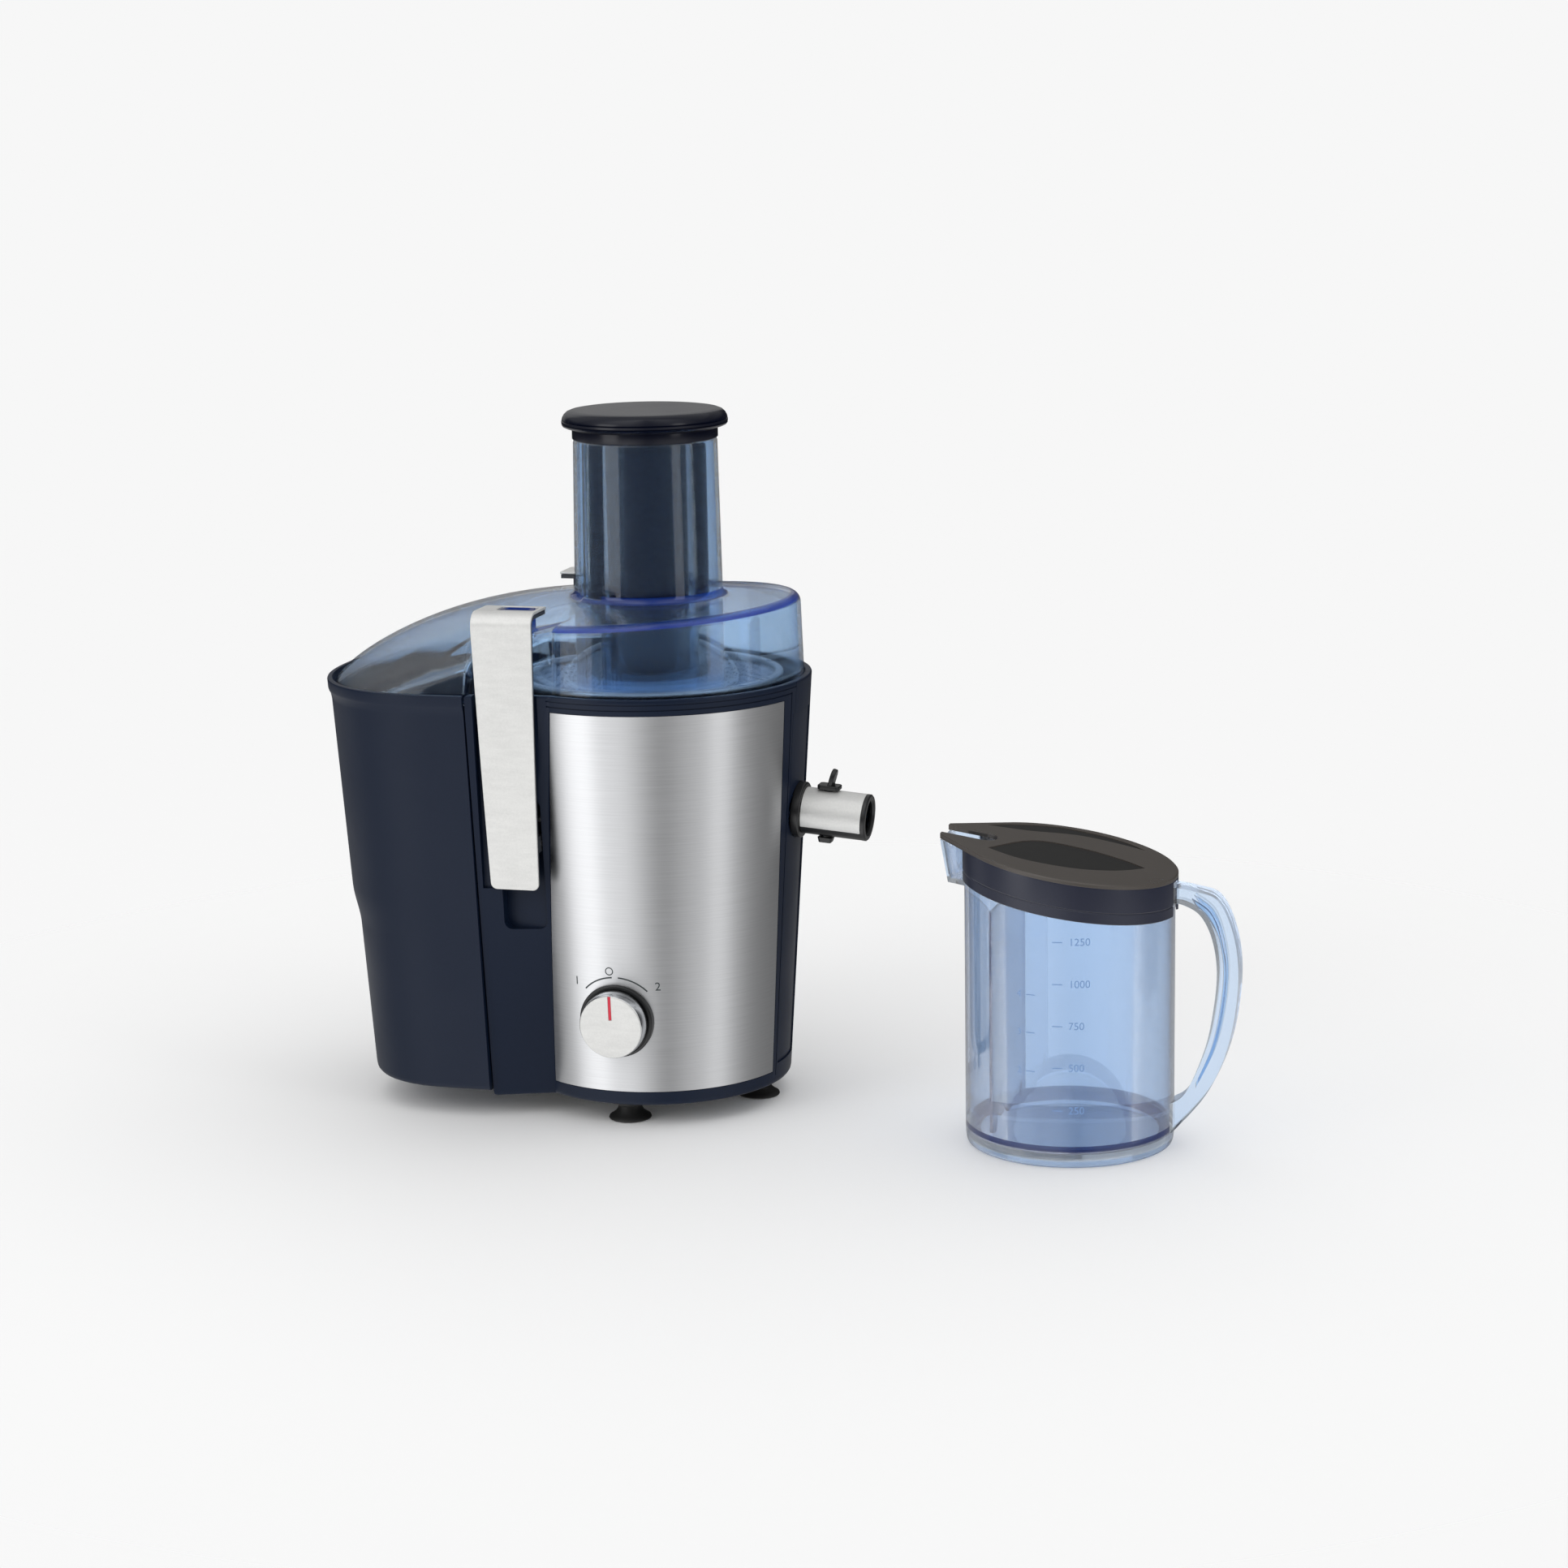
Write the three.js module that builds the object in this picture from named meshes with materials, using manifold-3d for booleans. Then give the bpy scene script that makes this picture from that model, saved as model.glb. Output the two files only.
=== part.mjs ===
// Centrifugal juicer: motor base with steel front, juice bowl and spout, spinning filter basket,
// clear lid with its feed chute and pusher, two toggle clamps, pulp container and juice jug.
// Millimetres, +Z up. The basket spins about the Z axis of the assembly group, the spout points
// along +X, the pulp container stands at -X and the speed knob faces -Y.
import * as THREE from "three";
import { mergeVertices } from "three/addons/utils/BufferGeometryUtils.js";
import Module from "manifold-3d";

const wasm = await Module();
wasm.setup();

// ---------------------------------------------------------------- driving dimensions
const clearance = 0.3; // between pieces that touch or are fixed together
const slideGap = 0.5; // between pieces that move past each other

// motor base
const footHeight = 13;
const rimTop = 270;
const bodyFootRadius = 83.4; // outside radius of the round body at its bottom edge
const bodyDraft = 0.067; // growth of that radius for each millimetre of height
const rimRadius = bodyFootRadius + bodyDraft * (rimTop - footHeight);
const shellWall = 3;
const lipHeight = 7; // raised rim that surrounds the lid
const lipWall = 4;
const bayInset = 7; // from the outside of the body to the wall of the bowl bay
const bayWall = 2.5;
const deckTop = rimTop - 102;
const deckThickness = 3;
const seamX = 13.6 - rimRadius; // plane where the base ends and the pulp container begins, at rim height
const seamLean = 0.012;
const flankStartX = -0.368 * rimRadius; // where the flat flanks leave the round body, at rim height
const flankStartLean = 0.043;
const sideHalfWidth = rimRadius + 0.9; // half width across the flanks at rim height
const baseSideDraft = 0.081;
const footRadius = 13.3;
const footCircle = 65;
const footPlaces = [[footCircle, 0], [0, footCircle], [-footCircle, 0], [0, -footCircle]];
const footStem = 4;
const plateThickness = 3;
const glandHeight = 36;
const glandRadius = 6.6;
const glandBore = 3.4;
const tongueX = [seamX - 32, seamX + 20]; // ledge under the pulp container
const tongueWidth = 60;

// steel front panel
const panelBottom = 22;
const panelTop = rimTop - 10;
const panelThickness = 0.8;
const panelLeft = [-123.8, -110.5]; // angles of the left edge at the bottom and at the top, degrees
const panelRight = [-16, -18.5];

// speed knob
const knobHeight = 68;
const knobRadius = 20;
const knobProud = 11;
const bezelRadius = 23.2;
const bezelProud = 2.2;
const spindleRadius = 3;
const spindleHole = spindleRadius + 3;

// juice bowl and spout
const bowlWall = 2.2;
const bowlFloor = deckTop + 2.5;
const bowlFloorThickness = 2.5;
const hubRadius = 15.5;
const hubBore = 12;
const basketFloor = rimTop - 38.5;
const hubTop = basketFloor - 9.5;
const flangeThickness = 2.2;
const spoutHeight = deckTop + 18;
const spoutDroop = 4.9; // degrees
const spoutTube = 12.4;
const spoutBore = spoutTube - 2;
const spoutReach = 45;
const shroudRadius = spoutTube + 2.2;
const sleeveThickness = 0.9;
const collarRadius = shroudRadius + 2.9;
const leverAt = 18; // distance of the drip lever from the body, along the spout
const leverHeight = 13.5;
const stemRadius = 3.4;

// filter basket
const basketRimRadius = rimRadius - 17.87;
const basketRimTop = rimTop + 1;
const basketFloorRadius = 52;
const basketFloorThickness = 4;
const sieveWall = 1;
const graterRadius = basketFloorRadius - 3;
const graterThickness = 1.5;

// lid and feed chute
const lidWall = 2.6;
const lidInset = 4.4; // from the outside of the body to the outside of the lid
const lidFlankInset = 8;
const lidEndInset = 2.4;
const ridgeHeight = rimTop + 43.5; // height of the lid's edge above the axis
const ridgeSlope = 0.06;
const crownHeight = rimTop + 49; // where the crown meets the chute
const pusherRadius = 37.5;
const chuteTopRadius = pusherRadius + 7;
const chuteRootRadius = pusherRadius + 8.5;
const chuteWall = 2.5;
const chuteTop = rimTop + 146;
const chuteBottom = basketFloor + 11.5;
const keyAngle = -118; // degrees
const keyWidth = 4;
const keyTop = rimTop + 24;

// pusher
const pusherWall = 3.2;
const pusherBottom = rimTop;
const capTop = chuteTop + 18.5;
const capRadius = chuteTopRadius + 6.9;
const capCollarRadius = chuteTopRadius + 0.5;

// pulp container
const containerBottom = 17;
const containerWall = 2.4;
const seamGap = 1; // between the container and the base that it wraps round
const containerSideDraft = 0.065;
const endCentreX = seamX - 26; // where the straight sides turn into the rounded end
const endLength = 90;
const endPower = 2.3;
const gripDepth = 3.5; // finger recess under the rounded end
const gripBottom = 113;
const gripTop = 137;
const rimBead = 1.6;
const beadBottom = rimTop - 9;
const wrapWallTop = rimTop - 13;

// clamps
const clampTopX = [seamX + 5, seamX + 43.5];
const clampBottomX = [seamX + 10.4, seamX + 41.3];
const clampBottom = rimTop - 121;
const clampTop = rimTop + 51;
const clampFaceTop = sideHalfWidth - 1.5; // distance of the outer face from the middle plane, at the top
const clampFaceBottom = clampFaceTop - 6.7;
const clampReach = clampFaceTop - 30; // how near the middle plane the hook plate comes
const clampSkin = 1.6;
const clampLiner = 2.5;
const pocketX = [seamX + 16, seamX + 42];
const pocketZ = [clampBottom - 27, clampBottom + 56];
const pocketDepth = clampFaceTop - 21.5; // distance of the pocket's back wall from the middle plane
const pocketWall = 2.5;
const linkLength = 15;
const linkPivot = [clampFaceTop - 16, clampBottom + 43]; // distance from the middle plane, and height
const linkEye = 4;
const pinRadius = 1.8;

// motor
const shaftRadius = 4;
const shaftBottom = 27;
const socketFit = 0.05; // between the shaft and what is pressed on it
const statorRadius = 38;
const statorBore = 25.5;
const statorZ = [72, 114];
const bracketRadius = 44;
const lowerBracketZ = 38;
const upperBracketZ = deckTop - 20;
const bracketThickness = 4;
const bearingRadius = 11;
const bearingHeight = 7;
const damperCircle = 36;

// jug
const jugAt = [274.5, -48.8];
const jugRadius = 63;
const jugWall = 2.6;
const jugFloor = 7;
const jugRim = 171; // height of the slanted rim above the jug's axis
const jugSlope = -0.159; // how the rim and the lid fall toward the handle
const jugLidTop = 176.7;
const jugLidPlate = 3;
const jugLidOverhang = 1.8;
const lipDepth = 12; // from the cup's rim down to the underside of the pouring lip
const lipReach = 0.94; // the lip's foot as a share of its reach at the rim
const jugSkirtHeight = 24;
const jugTip = [-13 - jugRadius, 14];
const jugNotch = 9.5;
const handleWidth = 18;
const separatorX = -0.6 * jugRadius;
const separatorThickness = 2;

// ---------------------------------------------------------------- solids and booleans
function asSolid(shape) {
  if (shape instanceof wasm.Manifold) return shape;
  const plain = new THREE.BufferGeometry();
  plain.setAttribute("position", shape.getAttribute("position"));
  plain.setIndex(shape.index);
  const merged = mergeVertices(plain, 1e-4);
  const triangles = [];
  const index = merged.index.array;
  for (let i = 0; i < index.length; i += 3) {
    const [a, b, c] = [index[i], index[i + 1], index[i + 2]];
    if (a !== b && b !== c && c !== a) triangles.push(a, b, c);
  }
  return new wasm.Manifold(
    new wasm.Mesh({
      numProp: 3,
      vertProperties: new Float32Array(merged.attributes.position.array),
      triVerts: new Uint32Array(triangles),
    }),
  );
}

function asGeometry(solid) {
  const mesh = solid.getMesh();
  const geometry = new THREE.BufferGeometry();
  geometry.setAttribute("position", new THREE.BufferAttribute(mesh.vertProperties, 3));
  geometry.setIndex(new THREE.BufferAttribute(mesh.triVerts, 1));
  geometry.computeVertexNormals();
  return geometry;
}

function join(first, ...others) {
  return others.reduce((whole, piece) => whole.add(asSolid(piece)), asSolid(first));
}

function cut(first, ...tools) {
  return tools.reduce((whole, tool) => whole.subtract(asSolid(tool)), asSolid(first));
}

function common(first, second) {
  return asSolid(first).intersect(asSolid(second));
}

function block([x0, x1], [y0, y1], [z0, z1]) {
  const geometry = new THREE.BoxGeometry(x1 - x0, y1 - y0, z1 - z0);
  return geometry.translate((x0 + x1) / 2, (y0 + y1) / 2, (z0 + z1) / 2);
}

// A round bar or cone along Z; a second radius is the one at the top.
function drum(radius, [z0, z1], topRadius = radius, segments = 32) {
  const geometry = new THREE.CylinderGeometry(topRadius, radius, z1 - z0, segments);
  return geometry.rotateX(Math.PI / 2).translate(0, 0, (z0 + z1) / 2);
}

const alongX = (geometry) => geometry.rotateY(Math.PI / 2);
const alongY = (geometry) => geometry.rotateX(-Math.PI / 2);

// Turns a profile of [radius, height] points about Z. A profile that doesn't start and end on
// the axis is closed on itself. The profile runs anticlockwise with the radius to the right.
function turned(profile, segments = 32) {
  const points = profile.map(([radius, height]) => new THREE.Vector2(radius, height));
  if (profile[0][0] > 0) points.push(points[0].clone());
  return new THREE.LatheGeometry(points, segments).rotateX(Math.PI / 2);
}

function ring(outer, inner, [z0, z1], segments = 32) {
  return turned([[inner, z0], [outer, z0], [outer, z1], [inner, z1]], segments);
}

// A closed skin through rings of [x, y, z] points that run anticlockwise, from the lowest up.
function loft(rings) {
  const count = rings[0].length;
  const vertices = rings.flat(2);
  const index = [];
  for (let level = 0; level < rings.length - 1; level++) {
    for (let i = 0; i < count; i++) {
      const a = level * count + i;
      const b = level * count + ((i + 1) % count);
      index.push(a, b, b + count, a, b + count, a + count);
    }
  }
  for (const [ringAt, up] of [[0, false], [rings.length - 1, true]]) {
    const first = ringAt * count;
    const faces = THREE.ShapeUtils.triangulateShape(
      rings[ringAt].map(([x, y]) => new THREE.Vector2(x, y)), [],
    ).map((face) => face.map((i) => i + first));
    if (faces.length !== count - 2) {
      // points in a straight line were dropped, so the end is fanned from its middle instead
      const centre = [0, 1, 2].map((axis) => rings[ringAt].reduce((sum, p) => sum + p[axis], 0) / count);
      const hub = vertices.push(...centre) / 3 - 1;
      faces.length = 0;
      for (let i = 0; i < count; i++) faces.push([first + i, first + ((i + 1) % count), hub]);
    }
    for (const [a, b, c] of faces) index.push(...(up ? [a, b, c] : [a, c, b]));
  }
  const geometry = new THREE.BufferGeometry();
  geometry.setAttribute("position", new THREE.Float32BufferAttribute(vertices, 3));
  geometry.setIndex(index);
  return geometry;
}

// An outline of [x, y] points, extruded along Z.
function slab(outline, [z0, z1]) {
  const shape = new THREE.Shape(outline.map(([x, y]) => new THREE.Vector2(x, y)));
  const geometry = new THREE.ExtrudeGeometry(shape, { depth: z1 - z0, bevelEnabled: false });
  return geometry.translate(0, 0, z0);
}

function roundedRectangle([x0, x1], [y0, y1], radius, steps = 3) {
  const outline = [];
  const corners = [[x1, y1, 0], [x0, y1, 1], [x0, y0, 2], [x1, y0, 3]];
  for (const [x, y, quarter] of corners) {
    const cx = x === x1 ? x - radius : x + radius;
    const cy = y === y1 ? y - radius : y + radius;
    for (let i = 0; i <= steps; i++) {
      const angle = ((quarter + i / steps) * Math.PI) / 2;
      outline.push([cx + radius * Math.cos(angle), cy + radius * Math.sin(angle)]);
    }
  }
  return outline;
}

const radians = THREE.MathUtils.degToRad;
const mix = THREE.MathUtils.lerp;

function finish(color, roughness, metalness = 0, opacity = 1) {
  const transparent = opacity < 1;
  return new THREE.MeshStandardMaterial({ color, roughness, metalness, opacity, transparent });
}

const navyPlastic = () => finish(0x1e2a3c, 0.4);
const blackPlastic = () => finish(0x18191b, 0.45);
const darkGreyPlastic = () => finish(0x3a3c40, 0.5);
const clearBlue = () => finish(0x9fc4ea, 0.08, 0, 0.4);
const brushedSteel = () => finish(0xc6c7c9, 0.32, 1);
const silverPaint = () => finish(0xd9dad8, 0.4, 0.5);
const blackRubber = () => finish(0x101113, 0.8);
const bareSteel = () => finish(0xb4b7ba, 0.3, 1);
const copper = () => finish(0xb06a3c, 0.4, 1);
const laminatedSteel = () => finish(0x6d7074, 0.5, 0.8);
const warmGreyPlastic = () => finish(0x4b4845, 0.45);
const redPaint = () => finish(0xb5202c, 0.4);

function add(parent, name, shape, material) {
  const mesh = new THREE.Mesh(asGeometry(asSolid(shape)), material);
  mesh.name = name;
  parent.add(mesh);
  return mesh;
}

// ---------------------------------------------------------------- outlines seen from above
function bodyRadius(z) {
  return bodyFootRadius + bodyDraft * (z - footHeight);
}

function seamAt(z) {
  return seamX + seamLean * (rimTop - z);
}

function baseSide(z) {
  return sideHalfWidth - baseSideDraft * (rimTop - z);
}

function containerSide(z) {
  return sideHalfWidth - containerSideDraft * (rimTop - z);
}

// The half outline of the round body, from +X round to where the flank starts.
function bodyArc(z, inset, steps = 16) {
  const startX = flankStartX - flankStartLean * (rimTop - z);
  const lastAngle = Math.acos(startX / bodyRadius(z));
  const radius = bodyRadius(z) - inset;
  const points = [];
  for (let i = 0; i <= steps; i++) {
    const angle = (lastAngle * i) / steps;
    points.push([radius * Math.cos(angle), radius * Math.sin(angle)]);
  }
  return points;
}

// A straight wall at x, pushed out where the circle of the radius stands further back.
function backWall(x, side, radius, steps = 8) {
  const points = [];
  for (let i = 0; i <= steps; i++) {
    const y = side * (1 - i / steps);
    const round = radius > y ? -Math.sqrt(radius * radius - y * y) : 0;
    points.push([Math.min(x, round), y]);
  }
  return points;
}

// The rounded end of the pulp container, from its straight side to the middle plane.
function roundedEnd(length, side, steps = 9) {
  const points = [];
  for (let i = 0; i <= steps; i++) {
    const angle = ((i / steps) * Math.PI) / 2;
    const along = i === steps ? 1 : Math.sin(angle) ** (2 / endPower);
    const across = i === steps ? 0 : Math.cos(angle) ** (2 / endPower);
    points.push([endCentreX - length * along, side * across]);
  }
  return points;
}

// Closes a half outline that starts and ends on the middle plane, at the given height.
function wholeOutline(half, z) {
  const mirrored = half.slice(1, -1).reverse().map(([x, y]) => [x, -y]);
  return [...half, ...mirrored].map(([x, y]) => [x, y, z]);
}

function baseOutline(z, inset) {
  const wall = backWall(seamAt(z) + inset, baseSide(z) - inset, bodyRadius(z) - inset);
  return wholeOutline([...bodyArc(z, inset), ...wall], z);
}

function endReach(z) {
  const grip = THREE.MathUtils.clamp((gripTop - z) / (gripTop - gripBottom), 0, 1) * gripDepth;
  return endLength - containerSideDraft * (rimTop - z) - grip;
}

// The container's outline as if it ran on into the base; the base is cut out of it afterwards.
function containerOutline(z, inset, bead = 0) {
  const side = containerSide(z) - inset + bead;
  const end = roundedEnd(endReach(z) - inset + bead, side);
  return wholeOutline([[flankStartX, 0], [flankStartX, side], ...end], z);
}

const wallLevels = [footHeight - 1, 70, gripBottom, gripTop, 190, 230, rimTop + 2];

// What the base, grown by a gap, takes away from the container: its round back and its flat seam.
function containerFront(gap) {
  const grown = loft(wallLevels.map((z) => baseOutline(z, -gap)));
  const beyondSeam = loft([wallLevels[0], rimTop + 2].map((z) => {
    const x = seamAt(z) - gap;
    return [[x, -150, z], [0, -150, z], [0, 150, z], [x, 150, z]];
  }));
  return join(grown, beyondSeam);
}

// The outline that the lid follows: round body, flanks and the container's rounded end.
function coverOutline(z, inset, flankInset, endInset) {
  const flank = [seamAt(z), baseSide(z) - flankInset];
  const sideStart = [seamAt(z) - 2, containerSide(z) - endInset];
  const end = roundedEnd(endLength - endInset, containerSide(z) - endInset);
  return wholeOutline([...bodyArc(z, inset), flank, sideStart, ...end], z);
}

// ---------------------------------------------------------------- motor base
const ledge = rimTop - lipHeight;

function bayRadius(z) {
  return bodyRadius(z) - bayInset;
}

function bayCone(inset) {
  return drum(bayRadius(deckTop) - inset, [deckTop, rimTop + 1], bayRadius(rimTop + 1) - inset, 36);
}

// A patch of the body's wall between two depths, with edges that lean from bottom to top.
function wallPatch([z0, z1], [left0, left1], [right0, right1], inner, outer, steps = 16) {
  const levels = 4;
  const rings = [];
  for (let level = 0; level <= levels; level++) {
    const share = level / levels;
    const z = mix(z0, z1, share);
    const [left, right] = [mix(left0, left1, share), mix(right0, right1, share)];
    const points = [];
    for (let i = 0; i <= steps; i++) {
      const angle = radians(mix(left, right, i / steps));
      const radius = bodyRadius(z) + outer;
      points.push([radius * Math.cos(angle), radius * Math.sin(angle), z]);
    }
    for (let i = steps; i >= 0; i--) {
      const angle = radians(mix(left, right, i / steps));
      const radius = bodyRadius(z) + inner;
      points.push([radius * Math.cos(angle), radius * Math.sin(angle), z]);
    }
    rings.push(points);
  }
  return loft(rings);
}

function lipCut(extra = 0) {
  const levels = [ledge, rimTop + 1];
  const inset = lipWall - extra;
  return loft(levels.map((z) => coverOutline(z, inset, lidFlankInset - slideGap, -rimBead)));
}

// The space that one clamp needs in the base, on the +Y side.
function clampBay(margin, depth) {
  const rings = [clampBottom - margin, clampTop + margin].map((z) => {
    const inner = clampFace(z) - depth;
    const [x0, x1] = [clampTopX[0] - margin, clampTopX[1] + margin];
    return [[x0, inner, z], [x1, inner, z], [x1, inner + 40, z], [x0, inner + 40, z]];
  });
  return loft(rings);
}

function pocketBlock(margin) {
  return block(
    [pocketX[0] - margin, pocketX[1] + margin],
    [pocketDepth - margin, sideHalfWidth + 10],
    [pocketZ[0] - margin, pocketZ[1] + margin],
  );
}

const flipY = new THREE.Matrix4().makeScale(1, -1, 1);

// The same solid on the other side of the middle plane.
function mirrored(geometry) {
  const copy = geometry.clone().applyMatrix4(flipY);
  const index = copy.index.array;
  for (let i = 0; i < index.length; i += 3) {
    [index[i], index[i + 1]] = [index[i + 1], index[i]];
  }
  return copy;
}

const bothSides = (geometry) => [geometry, mirrored(geometry)];

function spoutFrame() {
  const group = new THREE.Group();
  group.position.set(bodyRadius(spoutHeight), 0, spoutHeight);
  group.rotation.y = radians(spoutDroop);
  group.updateMatrix();
  return group;
}

// A bar along the spout's axis, placed in the assembly.
function spoutBar(radius, span, segments = 32) {
  return alongX(drum(radius, span, radius, segments)).applyMatrix4(spoutFrame().matrix);
}

function knobFrame() {
  const group = new THREE.Group();
  group.position.set(0, -bodyRadius(knobHeight), knobHeight);
  group.rotation.x = Math.PI / 2 + Math.atan(bodyDraft);
  group.updateMatrix();
  return group;
}

const clampBackDepth = clampSkin + clampLiner + 2 * clearance + slideGap;

function rawBase() {
  const levels = [footHeight, ...wallLevels.slice(1, -1), rimTop];
  return asSolid(loft(levels.map((z) => baseOutline(z, 0))));
}

function spoutSlot(halfWidth) {
  const above = block([80, 120], [-halfWidth, halfWidth], [spoutHeight, rimTop + 5]);
  return join(spoutBar(halfWidth, [-20, 12]), above);
}

const channelHalfAngle = 12; // degrees
const channelDepth = 1;

// The shallow recess that runs down the body under the spout.
function channel() {
  const edge = [channelHalfAngle, channelHalfAngle];
  return wallPatch([footHeight + 13, rimTop - 20], edge.map((angle) => -angle), edge, -channelDepth, 3, 4);
}

function baseHousing(parent) {
  const outer = rawBase();
  const hollow = loft([footHeight - 1, ledge - shellWall].map((z) => baseOutline(z, shellWall)));
  const bayShell = bayCone(-bayWall);
  const bayFloor = drum(bayRadius(deckTop) + bayWall, [deckTop - deckThickness, deckTop + 1], undefined, 36);
  const linings = [];
  for (const lining of [clampBay(pocketWall, clampBackDepth + pocketWall), pocketBlock(pocketWall)]) {
    linings.push(...bothSides(lining).map((side) => common(outer, side)));
  }
  const shell = join(cut(outer, hollow), common(outer, bayShell), bayFloor, ...linings);
  const margin = slideGap;
  const openings = [clampBay(margin, clampBackDepth), pocketBlock(0)].flatMap(bothSides);
  const pinHole = alongX(drum(pinRadius + clearance, [pocketX[0] - 2.2, pocketX[1] + 2.2], undefined, 12));
  pinHole.translate(0, linkPivot[0], linkPivot[1]);
  const panelSeat = wallPatch(
    [panelBottom - clearance, panelTop + clearance],
    panelLeft.map((angle) => angle - 0.3),
    panelRight.map((angle) => angle + 0.3),
    -panelThickness - clearance,
    3,
  );
  const knobHole = drum(spindleHole, [-12, 12], undefined, 20).applyMatrix4(knobFrame().matrix);
  const shaftHole = drum(hubBore, [deckTop - 10, deckTop + 10], undefined, 24);
  const slotHalf = tongueWidth / 2 + clearance;
  const tongueSlot = block(tongueX, [-slotHalf, slotHalf], [0, containerBottom]);
  const glandWall = bodyRadius(glandHeight);
  const glandHole = alongY(drum(glandRadius + 0.4, [glandWall - 20, glandWall + 20], undefined, 20));
  glandHole.translate(0, 0, glandHeight);
  const solid = cut(
    shell, bayCone(0), lipCut(), spoutSlot(collarRadius + clearance), ...openings, ...bothSides(pinHole),
    panelSeat, channel(), knobHole, shaftHole, tongueSlot, glandHole,
  );
  add(parent, "base_housing", solid, navyPlastic());
}

function spoutApron(parent) {
  const width = collarRadius;
  const strip = common(rawBase(), block([80, 120], [-width, width], [spoutHeight, rimTop + 1]));
  const collarGap = spoutBar(collarRadius + clearance, [-20, 12]);
  const solid = cut(strip, bayCone(0), lipCut(), collarGap, channel());
  add(parent, "spout_apron", solid, navyPlastic());
}

function basePlate(parent) {
  const inset = shellWall + 2 * clearance;
  const span = [footHeight + 0.5, footHeight + 0.5 + plateThickness];
  const plate = loft(span.map((z) => baseOutline(z, inset)));
  const tongueTop = containerBottom - slideGap;
  const tongue = block(tongueX, [-tongueWidth / 2, tongueWidth / 2], [footHeight + 0.5, tongueTop]);
  const slots = [];
  for (let i = 0; i < 10; i++) {
    const slot = block([22, 46], [-1.8, 1.8], [0, 30]);
    slots.push(slot.rotateZ(((i + 0.5) * Math.PI) / 5));
  }
  const stems = footPlaces.map(([x, y]) => (
    drum(footStem + clearance, [0, 30], undefined, 16).translate(x, y, 0)
  ));
  add(parent, "base_plate", cut(join(plate, tongue), ...slots, ...stems), blackPlastic());
}

function feet(parent) {
  const profile = [
    [0, 0], [footRadius, 0], [footRadius, 1.6], [footRadius - 4.5, 4.5], [footRadius - 6, 9],
    [footRadius - 5, footHeight + 0.2], [footStem, footHeight + 0.2],
    [footStem, footHeight + 6.5], [0, footHeight + 6.5],
  ];
  ["spout_side", "rear", "container_side", "front"].forEach((where, i) => {
    const foot = add(parent, "suction_foot_" + where, turned(profile, 20), blackRubber());
    foot.position.set(...footPlaces[i], 0);
  });
}

function frontPanel(parent) {
  const skin = wallPatch([panelBottom, panelTop], panelLeft, panelRight, -panelThickness, 0, 28);
  const hole = drum(spindleHole, [-12, 12], undefined, 20).applyMatrix4(knobFrame().matrix);
  add(parent, "front_panel", cut(skin, hole), brushedSteel());
}

function cordGland(parent) {
  const wall = bodyRadius(glandHeight);
  const sleeve = ring(glandRadius, glandBore, [wall - 6, wall + 9], 20);
  const flange = ring(glandRadius + 3.4, glandBore, [wall + 0.6, wall + 3], 20);
  const gland = cut(join(alongY(sleeve), alongY(flange)).translate(0, 0, glandHeight), bodyCone(clearance));
  add(parent, "cord_gland", gland, blackRubber());
}

// The round body's own cone, grown by a margin.
function bodyCone(margin) {
  return drum(bodyRadius(0) + margin, [0, rimTop], bodyRadius(rimTop) + margin, 90);
}

// ---------------------------------------------------------------- bowl, spout and drip lever
function juiceBowl(parent) {
  const outerAt = (z) => bayRadius(z) - clearance - slideGap;
  const innerAt = (z) => outerAt(z) - bowlWall;
  const flangeBottom = ledge + clearance;
  const flangeTop = flangeBottom + flangeThickness;
  const floorTop = bowlFloor + bowlFloorThickness;
  const flangeRadius = bodyRadius(ledge) - lipWall - slideGap;
  const wall = turned([
    [hubBore, bowlFloor], [outerAt(bowlFloor), bowlFloor], [outerAt(flangeBottom), flangeBottom],
    [flangeRadius, flangeBottom], [flangeRadius, flangeTop], [innerAt(flangeTop), flangeTop],
    [innerAt(floorTop), floorTop], [hubRadius + 4, floorTop], [hubRadius, hubTop], [hubBore, hubTop],
  ], 36);
  const bore = spoutBar(spoutBore, [-16, spoutReach + 5], 24);
  const stem = drum(stemRadius + slideGap, [-spoutTube - 3, spoutTube + 3], undefined, 16);
  stem.translate(leverAt, 0, 0).applyMatrix4(spoutFrame().matrix);
  const tube = spoutBar(spoutTube, [-9, spoutReach - 3], 24);
  add(parent, "juice_bowl", cut(join(wall, tube), bore, stem), clearBlue());
}

function spoutTrim(parent) {
  const frame = spoutFrame();
  parent.add(frame);
  const tubeGap = spoutTube + clearance;
  const collar = ring(collarRadius, tubeGap, [-2, 3.5], 28);
  add(frame, "spout_collar", alongX(collar), blackPlastic());
  const stemHole = drum(stemRadius + slideGap, [-20, 20], undefined, 16).translate(leverAt, 0, 0);
  const span = [3.5 + clearance, spoutReach];
  const shroudInner = shroudRadius - sleeveThickness - clearance;
  const ringPart = alongX(ring(shroudInner, tubeGap, span, 28));
  const endCap = alongX(ring(shroudRadius, spoutBore, [spoutReach - 3 + clearance, spoutReach], 28));
  add(frame, "spout_shroud", cut(join(ringPart, endCap), stemHole), blackPlastic());
  const sleeve = alongX(ring(shroudRadius, shroudRadius - sleeveThickness, [span[0], spoutReach - 3], 32));
  const underside = block([0, spoutReach], [-20, 20], [-20, -8]);
  add(frame, "spout_sleeve", cut(sleeve, underside, stemHole), silverPaint());
}

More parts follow.
